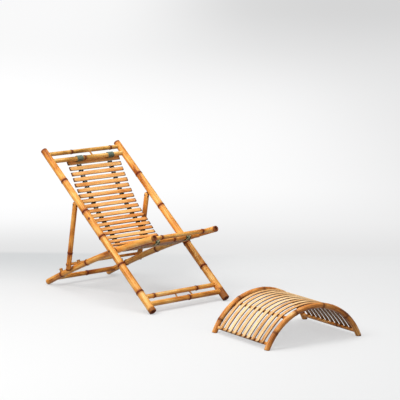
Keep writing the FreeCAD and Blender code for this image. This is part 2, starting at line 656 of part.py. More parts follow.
# The crossrail that carries the mat hangs a little lower, on a round tenon at each end.
BODY_LENGTH = "(%s - 2 * (Size.seat_rail_radius + Size.shoulder_gap))" % SEAT_GAUGE
TENON = "(Size.tenon_length + Size.shoulder_gap)"
ring_share = MAT_CROSSRAIL_RING_SHARES[0]
ring_place = "(%s + %s / 2 + %r * %s / 2)" % (TENON, BODY_LENGTH, ring_share, SEAT_GAUGE)
mat_crossrail = turned("mat_crossrail_turning", [
    ("0", "0"), ("Size.mat_crossrail_tenon", "0"), ("Size.mat_crossrail_tenon", TENON),
    ("Size.mat_crossrail_radius", TENON),
    ("Size.mat_crossrail_radius", ring_place + " - Size.ring_width / 2"),
    ("Size.mat_crossrail_radius + Size.ring_swell", ring_place + " - Size.ring_width / 7"),
    ("Size.mat_crossrail_radius + Size.ring_swell", ring_place + " + Size.ring_width / 7"),
    ("Size.mat_crossrail_radius", ring_place + " + Size.ring_width / 2"),
    ("Size.mat_crossrail_radius", TENON + " + " + BODY_LENGTH),
    ("Size.mat_crossrail_tenon", TENON + " + " + BODY_LENGTH),
    ("Size.mat_crossrail_tenon", "2 * %s + %s" % (TENON, BODY_LENGTH)), ("0", "2 * %s + %s" % (TENON, BODY_LENGTH))])
mat_crossrail_axis = on_seat(mat_crossrail_station, -cell("mat_crossrail_drop"))
full_length = size("2 * %s + %s" % (TENON, BODY_LENGTH))
mat_crossrail.Placement = Placement(mat_crossrail_axis - Y_AXIS * (full_length / 2), along(Y_AXIS))
keep("mat_crossrail", mat_crossrail)

# THE MAT
# Side route: a straight back, a wide bend, a straight waist, a closer bend and a rising seat.
mat_rail_axis = on_pole(cell("mat_rail_station"))
back_angle = math.radians(cell("mat_back_angle"))
waist_angle = math.radians(cell("mat_waist_angle"))
seat_angle = math.radians(cell("mat_seat_angle"))
back_way = Vector(math.cos(back_angle), 0, -math.sin(back_angle))
waist_way = Vector(math.cos(waist_angle), 0, -math.sin(waist_angle))
seat_way = Vector(math.cos(seat_angle), 0, math.sin(seat_angle))
route_start = mat_rail_axis + Y_AXIS.cross(back_way) * cell("mat_setback")
low_corner = mat_crossrail_axis - seat_way * cell("mat_seat_run")
gap_vector = low_corner - route_start
turn_measure = back_way.cross(waist_way).y
back_run = gap_vector.cross(waist_way).y / turn_measure
high_corner = route_start + back_way * back_run
waist_run = (low_corner - high_corner).Length
high_tangent = cell("mat_back_bend") * math.tan((back_angle - waist_angle) / 2)
low_tangent = cell("mat_seat_bend") * math.tan((waist_angle + seat_angle) / 2)
ROUTE = (
    (back_run - high_tangent, 0.0),
    (cell("mat_back_bend") * (back_angle - waist_angle), back_angle - waist_angle),
    (waist_run - high_tangent - low_tangent, 0.0),
    (cell("mat_seat_bend") * (waist_angle + seat_angle), waist_angle + seat_angle),
    (cell("mat_seat_run") - low_tangent - cell("mat_front_gap"), 0.0),
)
route_length = sum(length for length, _ in ROUTE)


def on_route(distance):
    """Point of the mat's side route at a distance from its top."""
    point = Vector(route_start)
    heading = -back_angle
    left = distance
    for length, turn in ROUTE:
        step = min(left, length)
        if turn == 0.0:
            point = point + Vector(math.cos(heading), 0, math.sin(heading)) * step
        else:
            bend = length / turn
            swing = step / bend
            point = point + Vector(math.sin(heading + swing) - math.sin(heading), 0,
                                   math.cos(heading) - math.cos(heading + swing)) * bend
            heading = heading + swing
        left = left - step
        if left <= 0:
            break
    return point


def mat_offset(distance):
    """Sideways place of the mat's middle, which eases between back and seat."""
    share = distance / route_length
    ease = (share - MAT_EASE_START_SHARE) / (MAT_EASE_END_SHARE - MAT_EASE_START_SHARE)
    ease = min(max(ease, 0.0), 1.0)
    return cell("mat_offset_back") + (cell("mat_offset_seat") - cell("mat_offset_back")) * ease


slat_count = int(round(route_length / cell("slat_pitch")))
knots = []
for index in range(slat_count + 1):
    distance = route_length * index / slat_count
    point = on_route(distance)
    knots.append(Vector(point.x, mat_offset(distance), point.z))
back_count = int(round(slat_count * MAT_BACK_SHARE))
bend_count = int(round(slat_count * MAT_BEND_SHARE)) - back_count
print("mat route length", route_length, "slats", slat_count, "back", back_count, "bend", bend_count)

# One slat: a flat split strip with bevelled edges, across the mat.
slat_body = doc.addObject("PartDesign::Body", "slat_blank")
HALF_WIDTH = "Size.slat_width / 2"
HALF_THICK = "Size.slat_thickness / 2"
slat_sketch = outline_sketch(slat_body, "slat_section", "XZ_Plane", [
    ("-%s + Size.slat_bevel" % HALF_WIDTH, "-" + HALF_THICK), (HALF_WIDTH + " - Size.slat_bevel", "-" + HALF_THICK),
    (HALF_WIDTH, "-%s + Size.slat_bevel" % HALF_THICK), (HALF_WIDTH, HALF_THICK + " - Size.slat_bevel"),
    (HALF_WIDTH + " - Size.slat_bevel", HALF_THICK), ("-%s + Size.slat_bevel" % HALF_WIDTH, HALF_THICK),
    ("-" + HALF_WIDTH, HALF_THICK + " - Size.slat_bevel"), ("-" + HALF_WIDTH, "-%s + Size.slat_bevel" % HALF_THICK)])
slat_pad = slat_body.newObject("PartDesign::Pad", "slat_pad")
slat_pad.Profile = slat_sketch
slat_pad.setExpression("Length", SLAT_LENGTH)
slat_pad.Midplane = True
doc.recompute()
slat_blank = slat_body.Shape

CORD_OFFSETS = []
for column in (-1, 1):
    for cord in (-1, 1):
        CORD_OFFSETS.append(column * cell("column_half_spread") + cord * cell("cord_half_gap"))


def threaded_slat(index):
    """Slat between two knots, drilled along the run of each cord."""
    here = knots[index]
    ahead = knots[index + 1]
    middle = (here + ahead) * 0.5
    run = ahead - here
    flat_run = Vector(run.x, 0, run.z).normalize()
    upward = flat_run.cross(Y_AXIS)
    slat = slat_blank.copy()
    slat.Placement = Placement(middle, Rotation(flat_run, Y_AXIS, upward, "ZXY"))
    hole_radius = cell("cord_radius") + cell("cord_hole_fit")
    holes = []
    for offset in CORD_OFFSETS:
        start = here + Y_AXIS * offset
        holes.append(Part.makeCylinder(hole_radius, run.Length, start, run))
    return slat.cut(holes)


def knotted_cord(first, last, offset, lead_in, lead_out):
    """One cord from knot to knot, straight through each slat, as a single solid.

    lead_in and lead_out are the axis of the rail that an end runs to, or None."""
    radius = cell("cord_radius")
    bite = cell("knot_radius") / 2
    shift = Y_AXIS * offset
    pieces = []
    for index in range(first, last):
        run = knots[index + 1] - knots[index]
        way = Vector(run).normalize()
        lead = bite
        if index == first and lead_in is None:
            lead = cell("knot_radius") + cell("cord_gap")
        start = knots[index] + shift + way * lead
        pieces.append(Part.makeCylinder(radius, run.Length - lead - bite, start, way))
    first_knot = first if lead_in is not None else first + 1
    for index in range(first_knot, last + 1):
        before = knots[max(index - 1, 0)]
        after = knots[min(index + 1, slat_count)]
        along_mat = Vector(after.x - before.x, 0, after.z - before.z).normalize()
        knot = Part.makeSphere(cell("knot_radius"))
        seam_way = along_mat + along_mat.cross(Y_AXIS)
        turn = Rotation(seam_way, seam_way.cross(Y_AXIS), Y_AXIS * -1, "ZXY")
        knot.Placement = Placement(knots[index] + shift, turn)
        pieces.append(knot)
    for axis, knot in ((lead_in, knots[first]), (lead_out, knots[last])):
        if axis is None:
            continue
        rail_axis, rail_radius = axis
        spoke = Vector(rail_axis.x - knot.x, 0, rail_axis.z - knot.z)
        way = Vector(spoke).normalize()
        wound = rail_radius + cell("lashing_seat") + 2 * cell("lashing_radius") + cell("cord_gap")
        pieces.append(Part.makeCylinder(radius, spoke.Length - wound - bite, knot + shift + way * bite, way))
    return pieces[0].fuse(pieces[1:])


def cord_set(first, last, lead_in=None, lead_out=None):
    return Part.makeCompound([knotted_cord(first, last, offset, lead_in, lead_out) for offset in CORD_OFFSETS])


bend_end = back_count + bend_count
shaped("back_slats", Part.makeCompound([threaded_slat(index) for index in range(back_count)]))
shaped("bend_slats", Part.makeCompound([threaded_slat(index) for index in range(back_count, bend_end)]))
shaped("seat_slats", Part.makeCompound([threaded_slat(index) for index in range(bend_end, slat_count)]))
upper_end = (mat_rail_axis, cell("mat_rail_radius"))
lower_end = (mat_crossrail_axis, cell("mat_crossrail_radius"))
shaped("back_mat_cords", cord_set(0, back_count, upper_end, None))
shaped("bend_mat_cords", cord_set(back_count, bend_end))
shaped("seat_mat_cords", cord_set(bend_end, slat_count, None, lower_end))


# Lashings: cord wound round a rail in close even turns, one unbroken tube each.
def tangent_arc(start, heading, end):
    """Arc that leaves the start along the heading and arrives at the end."""
    span = end - start
    reach = Vector(span).normalize()
    lean_angle = math.acos(max(-1.0, min(1.0, reach.dot(heading))))
    side_way = heading - reach * reach.dot(heading)
    side_way.normalize()
    top = (start + end) * 0.5 + side_way * (span.Length / 2 * math.tan(lean_angle / 2))
    return Part.Arc(start, top, end)


def biarc(start, start_way, end, end_way):
    """Two tangent arcs between two points with given headings."""
    span = end - start
    both = start_way + end_way
    sharp = 2 * (1 - start_way.dot(end_way))
    lead = (-span.dot(both) + math.sqrt(span.dot(both) ** 2 + sharp * span.dot(span))) / sharp
    middle = (start + end + (start_way - end_way) * lead) * 0.5
    arrive = (end - end_way * lead) - (start + start_way * lead)
    arrive.normalize()
    return [tangent_arc(start, start_way, middle), tangent_arc(middle, arrive, end)]


def winding(label, axis_point, rail_radius, turns, start_turn):
    """Even turns of cord about a rail that lies along Y, centred on the axis point."""
    radius = cell("lashing_radius")
    coil = rail_radius + cell("lashing_seat") + radius
    pitch = 2 * radius + cell("lashing_turn_gap")
    first = axis_point - Y_AXIS * (pitch * turns / 2)
    quarters = 4 * turns

    def place(quarter):
        angle = math.pi / 2 * quarter + start_turn
        around = Vector(math.cos(angle), 0, math.sin(angle))
        point = first + around * coil + Y_AXIS * (pitch * quarter / 4)
        way = Vector(-math.sin(angle), 0, math.cos(angle)) * (2 * math.pi * coil) + Y_AXIS * pitch
        return point, way.normalize()

    edges = []
    for quarter in range(quarters):
        here, here_way = place(quarter)
        ahead, ahead_way = place(quarter + 1)
        edges.extend(arc.toShape() for arc in biarc(here, here_way, ahead, ahead_way))
    path = Part.Wire(edges)
    start_point, start_way = place(0)
    section = Part.Wire(Part.makeCircle(radius, start_point, start_way))
    tube = path.makePipeShell([section], True, False)
    samples = []
    for edge in edges:
        samples.extend(edge.discretize(5)[:-1])
    one_turn = len(samples) // turns
    least = min((samples[index] - samples[other]).Length
                for index in range(len(samples))
                for other in range(index + one_turn // 2, min(len(samples), index + one_turn * 3 // 2)))
    print(label, "least gap between turns", round(least - 2 * radius, 3), "tube to path",
          round(tube.Volume / (math.pi * radius ** 2 * path.Length), 4))
    return shaped(label, tube)


for column_name, column in SIDES:
    across = column * cell("column_half_spread")
    winding("upper_lashing_" + column_name, mat_rail_axis + Y_AXIS * (cell("mat_offset_back") + across),
            cell("mat_rail_radius"), UPPER_LASHING_TURNS, math.pi / 2)
    winding("lower_lashing_" + column_name, mat_crossrail_axis + Y_AXIS * (cell("mat_offset_seat") + across),
            cell("mat_crossrail_radius"), LOWER_LASHING_TURNS, math.pi / 2)

# FOOTSTOOL
# Its own frame: X across the stool between the arches, Y along them, turned a little on the floor.
stool_turn = Rotation(Z_AXIS, -cell("stool_turn"))
stool_place = Placement(Vector(cell("stool_forward"), -cell("stool_side"), 0), stool_turn)
arch_centre_height = cell("arch_rise") - cell("arch_bend")
ARCH_HALF = "acos((Size.arch_bend - Size.arch_rise) / Size.arch_bend)"
ARCH_EXTRA = "(Size.arch_overrun / Size.arch_bend * 1 rad)"
arch_half = math.acos((cell("arch_bend") - cell("arch_rise")) / cell("arch_bend"))
arch_extra = cell("arch_overrun") / cell("arch_bend")
RAIL_ANGLES = (
    ("stool_rail_outer_right", -math.radians(cell("outer_rail_angle"))),
    ("stool_rail_inner_right", -math.radians(cell("inner_rail_angle"))),
    ("stool_rail_inner_left", math.radians(cell("inner_rail_angle"))),
    ("stool_rail_outer_left", math.radians(cell("outer_rail_angle"))),
)


def on_arch(angle, radius, across=0.0):
    """Point of the stool at an angle from the top of its arc, in the room's frame."""
    point = Vector(across, math.sin(angle) * radius, math.cos(angle) * radius + arch_centre_height)
    return stool_place.multVec(point)


def arch_out(angle):
    return stool_turn.multVec(Vector(0, math.sin(angle), math.cos(angle)))


stool_across = stool_turn.multVec(X_AXIS)
rail_bend = cell("arch_bend") - cell("stool_rail_drop")
for label, arch_side in (("stool_arch_rear", -1), ("stool_arch_front", 1)):
    across = arch_side * cell("arch_gauge") / 2
    start_out = arch_out(-arch_half - arch_extra)
    turn = Rotation(start_out, (stool_across * -1).cross(start_out), stool_across * -1, "ZXY")
    centre = stool_place.multVec(Vector(across, 0, arch_centre_height))
    sweep = "2 * (%s + %s)" % (ARCH_HALF, ARCH_EXTRA)
    arch = arc_rod(label + "_arc", "Size.arch_bend", "Size.arch_radius", sweep, Placement(centre, turn))
    hollow = arc_rod(label + "_hollow", "Size.arch_bend", "Size.arch_radius - Size.arch_wall", sweep,
                     Placement(centre, turn))
    tube = doc.addObject("Part::Cut", label + "_tube")
    tube.Base = arch
    tube.Tool = hollow
    tools = [block(label + "_floor", (floor_span, floor_span, floor_span), floor_place)]
    for rail_name, angle in RAIL_ANGLES:
        start = on_arch(angle, rail_bend, across + arch_side * cell("stool_rail_entry"))
        tools.append(rod(label + "_" + rail_name, "Size.stool_rail_radius + Size.rail_fit",
                         "Size.stool_rail_entry + Size.arch_radius + Size.overrun", start,
                         stool_across * -arch_side))
    carved(label, tube, tools)

strip_pitch = cell("strip_width") + cell("strip_gap")
strip_inner = rail_bend + cell("stool_rail_radius") + cell("strip_seat")
strip_places = [(number - (STRIP_COUNT - 1) / 2) * strip_pitch for number in range(STRIP_COUNT)]
nail_start = strip_inner - cell("nail_depth")
NAIL_LENGTH = "(Size.nail_depth + Size.strip_thickness)"


def nail_rods(prefix, radius, length, angles, places):
    """Rods at the nail places of the given rails and strips."""
    rods = []
    for rail_number, angle in enumerate(angles, start=1):
        for strip_number, place in enumerate(places, start=1):
            rods.append(rod("%s_%d_%d" % (prefix, rail_number, strip_number), radius, length,
                            on_arch(angle, nail_start, place), arch_out(angle)))
    return rods


angles = [angle for _, angle in RAIL_ANGLES]
RAIL_SPAN = "(Size.arch_gauge + 2 * Size.stool_rail_entry)"
for rail_name, angle in RAIL_ANGLES:
    rail = turned(rail_name + "_turning", [
        ("0", "0"), ("Size.stool_rail_radius", "0"), ("Size.stool_rail_radius", RAIL_SPAN), ("0", RAIL_SPAN)])
    start = on_arch(angle, rail_bend, -size(RAIL_SPAN) / 2)
    rail.Placement = Placement(start, along(stool_across))
    holes = nail_rods(rail_name + "_nail_hole", "Size.nail_radius + Size.nail_fit", NAIL_LENGTH, [angle], strip_places)
    carved(rail_name, rail, holes)

# Curved strips lie side by side over the four rails and run a little past the outer ones.
STRIP_INNER = "(Size.arch_bend - Size.stool_rail_drop + Size.stool_rail_radius + Size.strip_seat)"
STRIP_OUTER = "(%s + Size.strip_thickness)" % STRIP_INNER
STRIP_SWEEP = "2 * (Size.outer_rail_angle + (Size.strip_overhang / Size.arch_bend) * 180 / pi)"
for number, place in enumerate(strip_places, start=1):
    label = "stool_strip_%02d" % number
    body = doc.addObject("PartDesign::Body", label + "_body")
    half = "Size.strip_width / 2"
    sketch = outline_sketch(body, label + "_section", "XZ_Plane", [
        (STRIP_INNER, "-" + half), (STRIP_OUTER + " - Size.strip_bevel", "-" + half),
        (STRIP_OUTER, "-%s + Size.strip_bevel" % half), (STRIP_OUTER, half + " - Size.strip_bevel"),
        (STRIP_OUTER + " - Size.strip_bevel", half), (STRIP_INNER, half)])
    bent = body.newObject("PartDesign::Revolution", label + "_bent")
    bent.Profile = sketch
    bent.ReferenceAxis = (sketch, ["V_Axis"])
    bent.setExpression("Angle", STRIP_SWEEP)
    bent.Midplane = True
    top_out = arch_out(0.0)
    turn = Rotation(top_out, stool_across.cross(top_out), stool_across, "ZXY")
    body.Placement = Placement(stool_place.multVec(Vector(place, 0, arch_centre_height)), turn)
    holes = nail_rods(label + "_nail_hole", "Size.nail_radius + Size.nail_fit", NAIL_LENGTH + " + Size.overrun",
                      angles, [place])
    carved(label, body, holes)

# Forty thin nails hold the strips to the rails.
nails = nail_rods("stool_nail", "Size.nail_radius", NAIL_LENGTH, angles, strip_places)
nail_group = doc.addObject("Part::Compound", "stool_nails_piece")
nail_group.Links = nails
keep("stool_nails", nail_group)

# CHECK AND WRITE
doc.recompute()
for item in doc.Objects:
    if "Invalid" in item.State or "Error" in item.State:
        raise RuntimeError("failed object: %s %s" % (item.Label, item.State))
for label, item in subparts.items():
    shape = item.Shape
    if shape.isNull() or not shape.isValid() or not shape.Solids:
        raise RuntimeError("bad shape: " + label)
os.makedirs("parts", exist_ok=True)
for label, item in subparts.items():
    item.Shape.exportStep("parts/%s.step" % label)
    print(label, len(item.Shape.Solids), "solids", round(item.Shape.Volume / 1000, 2), "cm3")
print(len(subparts), "sub-parts")
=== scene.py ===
# %% [markdown]
# A folding bamboo deck chair and its arched footstool.
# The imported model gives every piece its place. Here each visible piece is dressed:
# bamboo poles with swollen rings and cut ends, split slats, knotted cord, and soft studio light.
# Everything is in metres: X points to the sitter's feet, Y to the sitter's left, Z up.

# %% Load the fixed frame
import json
import math
import random

import bpy
import bmesh
from mathutils import Euler, Matrix, Vector


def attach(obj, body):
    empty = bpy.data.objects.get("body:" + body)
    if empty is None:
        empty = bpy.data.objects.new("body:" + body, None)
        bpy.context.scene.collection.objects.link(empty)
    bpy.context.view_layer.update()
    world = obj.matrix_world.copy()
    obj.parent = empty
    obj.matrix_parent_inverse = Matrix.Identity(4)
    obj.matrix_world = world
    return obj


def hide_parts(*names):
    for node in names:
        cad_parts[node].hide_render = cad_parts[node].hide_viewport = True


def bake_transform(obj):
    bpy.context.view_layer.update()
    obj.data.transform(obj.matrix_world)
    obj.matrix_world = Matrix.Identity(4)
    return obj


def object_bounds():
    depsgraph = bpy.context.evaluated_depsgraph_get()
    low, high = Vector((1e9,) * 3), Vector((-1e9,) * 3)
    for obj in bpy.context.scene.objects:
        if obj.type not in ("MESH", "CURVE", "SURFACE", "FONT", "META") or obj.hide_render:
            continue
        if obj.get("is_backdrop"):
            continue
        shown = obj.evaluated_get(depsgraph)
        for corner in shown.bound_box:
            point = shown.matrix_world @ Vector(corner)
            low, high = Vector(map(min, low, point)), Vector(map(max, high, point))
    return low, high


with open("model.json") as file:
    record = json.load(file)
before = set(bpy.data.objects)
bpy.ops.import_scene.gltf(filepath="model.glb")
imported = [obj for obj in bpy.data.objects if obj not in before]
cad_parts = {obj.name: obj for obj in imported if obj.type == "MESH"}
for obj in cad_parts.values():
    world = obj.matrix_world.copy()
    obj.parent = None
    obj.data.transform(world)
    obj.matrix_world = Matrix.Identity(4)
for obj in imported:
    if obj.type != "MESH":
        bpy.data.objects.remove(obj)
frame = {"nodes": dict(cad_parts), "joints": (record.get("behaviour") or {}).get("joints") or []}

cad_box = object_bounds()

# %% [markdown]
# The camera comes first, so that every later choice can be judged from the same spot.
# A long lens some twelve metres away keeps the two poles nearly parallel, as a studio picture does.
# The place, the turn and the lens were fitted to the pole spacing and to the feet on the floor.

# %% Place the camera
CAMERA_PLACE = Vector((8.8658, -7.9122, 2.6727))
CAMERA_AZIMUTH = math.radians(48.009)
CAMERA_DROP = math.radians(9.766)
CAMERA_ROLL = math.radians(0.60)
CAMERA_LENS = 190.777


def stand(name, data):
    """Object for a mesh, a lamp or a camera, in the scene at the origin."""
    thing = bpy.data.objects.new(name, data)
    bpy.context.collection.objects.link(thing)
    return thing


camera = stand("studio_camera", bpy.data.cameras.new("studio_camera"))
camera.data.lens = CAMERA_LENS
camera.data.sensor_width = 36.0
camera.location = CAMERA_PLACE
camera_turn = Euler((math.pi / 2 - CAMERA_DROP, 0.0, CAMERA_AZIMUTH)).to_matrix()
camera.rotation_euler = (camera_turn @ Matrix.Rotation(CAMERA_ROLL, 3, "Z")).to_euler()
bpy.context.scene.camera = camera
print("camera at", camera.location.to_tuple(3))

# %% [markdown]
# The chair is a few straight lines: a leaning pole frame, a bowed seat frame and a hanging prop.
# The same few sizes that shaped the solids give the lines along which the pieces below are grown.

# %% Lines of the leaning frame
POLE_LENGTH = 1.2855
POLE_SLOPE = math.radians(38.73)
POLE_GAUGE = 0.560
POLE_FOOT_RADIUS = 0.022
POLE_TOP_RADIUS = 0.020
FOOT_TRIM = 0.0019
SIDES = (("right", -1), ("left", 1))

forward = Vector((1, 0, 0))
across = Vector((0, 1, 0))
pole_up = Vector((-math.cos(POLE_SLOPE), 0, math.sin(POLE_SLOPE)))
pole_foot = Vector((0, 0, POLE_FOOT_RADIUS * math.cos(POLE_SLOPE) - FOOT_TRIM))


def side_view(angle):
    """Direction in the side view, at an angle over the floor."""
    return Vector((math.cos(angle), 0, math.sin(angle)))


def on_pole(station, side=0.0):
    """Point of the leaning frame at a distance up the pole."""
    return pole_foot + pole_up * station + across * side


joints = {joint["name"]: joint for joint in frame["joints"]}
pivot = Vector(joints["seat_fold"]["pos_m"])
hinge = Vector(joints["prop_swing"]["pos_m"])
print("pivot", tuple(pivot), "hinge", tuple(hinge))

# %% Lines of the bowed seat frame
SEAT_CHORD = 1.062
SEAT_BOW = 0.0198
SEAT_RADIUS = 0.018
SEAT_GAUGE = 0.468
SEAT_PIVOT_STATION = 0.7176
SEAT_TRIM = 0.0008
seat_bend = SEAT_CHORD ** 2 / (8 * SEAT_BOW) + SEAT_BOW / 2
half_sweep = math.asin(SEAT_CHORD / 2 / seat_bend)


def bow_height(station):
    return math.sqrt(seat_bend ** 2 - (station - SEAT_CHORD / 2) ** 2) - (seat_bend - SEAT_BOW)


arm = math.hypot(SEAT_PIVOT_STATION, bow_height(SEAT_PIVOT_STATION))
arm_lift = math.atan2(bow_height(SEAT_PIVOT_STATION), SEAT_PIVOT_STATION)
seat_slope = 0.0
for _ in range(12):
    rest_height = SEAT_RADIUS * math.cos(seat_slope + half_sweep) - SEAT_TRIM
    seat_slope = math.asin((pivot.z - rest_height) / arm) - arm_lift
seat_ahead = side_view(seat_slope)
seat_over = Vector((-math.sin(seat_slope), 0, math.cos(seat_slope)))
seat_rear = pivot - seat_ahead * SEAT_PIVOT_STATION - seat_over * bow_height(SEAT_PIVOT_STATION)
seat_centre = seat_rear + seat_ahead * (SEAT_CHORD / 2) - seat_over * (seat_bend - SEAT_BOW)


def seat_normal(station):
    lean = math.asin((SEAT_CHORD / 2 - station) / seat_bend)
    return seat_over * math.cos(lean) - seat_ahead * math.sin(lean)


def on_seat(station, over=0.0, side=0.0):
    """Point along the seat rail's chord, over its axis and to one side."""
    return seat_centre + seat_normal(station) * (seat_bend + over) + across * side


CROSSBAR_RADIUS = 0.0085
CROSSBAR_STATION = 0.292
CROSSBAR_CLEARANCE = 0.0003
crossbar_middle = on_seat(CROSSBAR_STATION, SEAT_RADIUS + CROSSBAR_RADIUS + CROSSBAR_CLEARANCE)
prop_down = (crossbar_middle - hinge).normalized()
prop_reach = (crossbar_middle - hinge).length
print("seat slope", round(math.degrees(seat_slope), 2), "prop reach", round(prop_reach, 4))

# %% [markdown]
# Shader maths reads best as plain sums. This small class wraps a socket, so that
# `1 - mask * 0.5` adds the Math nodes by itself. Every other node comes from one method, `add`,
# which takes the node's type, its settings and the values or links of its sockets. Finishes and
# layouts are both trees of nodes, so both are built with the same two classes.

# %% A socket that can be used in sums
class Signal:
    def __init__(self, nodes, socket):
        self.nodes = nodes
        self.socket = socket

    def __add__(self, other):
        return self.nodes.maths("ADD", self, other)

    def __radd__(self, other):
        return self.nodes.maths("ADD", other, self)

    def __sub__(self, other):
        return self.nodes.maths("SUBTRACT", self, other)

    def __rsub__(self, other):
        return self.nodes.maths("SUBTRACT", other, self)

    def __mul__(self, other):
        return self.nodes.maths("MULTIPLY", self, other)

    def __rmul__(self, other):
        return self.nodes.maths("MULTIPLY", other, self)

    def __truediv__(self, other):
        return self.nodes.maths("DIVIDE", self, other)

    def __rtruediv__(self, other):
        return self.nodes.maths("DIVIDE", other, self)

    def __abs__(self):
        return self.nodes.maths("ABSOLUTE", self)

    def output(self, name):
        """Another output of the same node."""
        return Signal(self.nodes, self.socket.node.outputs[name])


print("a socket now takes part in sums")


# %% A tree of nodes that is being filled
class Nodes:
    def __init__(self, tree):
        self.tree = tree

    def put(self, socket, value):
        if isinstance(value, Signal):
            self.tree.links.new(value.socket, socket)
        elif isinstance(value, tuple) and len(value) == 3 and len(socket.default_value) == 4:
            socket.default_value = (*value, 1.0)
        else:
            socket.default_value = value

    def add(self, kind, settings=None, sockets=None, output=0):
        """One node, its settings first and then its sockets. One of its outputs comes back."""
        node = self.tree.nodes.new(kind)
        for name, value in (settings or {}).items():
            if name == "stops":
                ramp = node.color_ramp.elements
                while len(ramp) < len(value):
                    ramp.new(1.0)
                for element, (place, colour) in zip(ramp, value):
                    element.position = place
                    element.color = (*colour, 1.0)
            else:
                setattr(node, name, value)
        for name, value in (sockets or {}).items():
            self.put(node.inputs[name], value)
        return Signal(self, node.outputs[output]) if node.outputs else None

    def maths(self, operation, first, second=0.0):
        return self.add("ShaderNodeMath", {"operation": operation}, {0: first, 1: second})


print("a tree of nodes can now be filled")


# %% A finish: one material and the nodes that make it
class Finish(Nodes):
    def __init__(self, name, coat=0.0, coat_roughness=0.3, sheen=0.0, specular=0.22, metallic=0.0):
        self.material = bpy.data.materials.new(name)
        self.material.use_nodes = True
        super().__init__(self.material.node_tree)
        self.shader = self.tree.nodes["Principled BSDF"].inputs
        constants = {"Coat Weight": coat, "Coat Roughness": coat_roughness, "Sheen Weight": sheen,
                     "Specular IOR Level": specular, "Metallic": metallic}
        for label, value in constants.items():
            self.put(self.shader[label], value)

    def attribute(self, name, output="Fac"):
        return self.add("ShaderNodeAttribute", {"attribute_name": name}, {}, output)

    def place(self):
        """Object coordinates, for pieces whose pattern does not follow a grown surface."""
        return self.add("ShaderNodeTexCoord", {}, {}, "Object")

    def vector_maths(self, operation, first, second, output=0):
        return self.add("ShaderNodeVectorMath", {"operation": operation}, {0: first, 1: second}, output)

    def noise(self, vector, scales, detail=2.0, roughness=0.5, distortion=0.0):
        """Noise with its own scale along each axis: the larger the scale, the finer it is that way."""
        return self.add("ShaderNodeTexNoise", {}, {
            "Vector": self.vector_maths("MULTIPLY", vector, scales), "Scale": 1.0, "Detail": detail,
            "Roughness": roughness, "Distortion": distortion})

    def step(self, value, low, high, bottom=0.0, top=1.0):
        """Smooth change from bottom to top while the value goes from low to high."""
        return self.add("ShaderNodeMapRange", {"interpolation_type": "SMOOTHSTEP"}, {
            "Value": value, "From Min": low, "From Max": high, "To Min": bottom, "To Max": top})

    def mix(self, factor, first, second):
        return self.add("ShaderNodeMix", {"data_type": "RGBA"}, {0: factor, 6: first, 7: second}, 2)

    def ramp(self, value, stops):
        return self.add("ShaderNodeValToRGB", {"stops": stops}, {0: value})

    def finish(self, colour, roughness, height=None, depth=0.0004):
        self.put(self.shader["Base Color"], colour)
        self.put(self.shader["Roughness"], roughness)
        if height is not None:
            bump = self.add("ShaderNodeBump", {}, {"Strength": 0.6, "Distance": depth, "Height": height})
            self.put(self.shader["Normal"], bump)
        return self.material


def shade(colour):
    """Linear colour from the usual 0 to 255 values."""
    def linear(value):
        value = value / 255
        return value / 12.92 if value <= 0.04045 else ((value + 0.055) / 1.055) ** 2.4
    return tuple(linear(value) for value in colour)


print("a grey of 128 is", round(shade((128, 128, 128))[0], 3), "of full white")
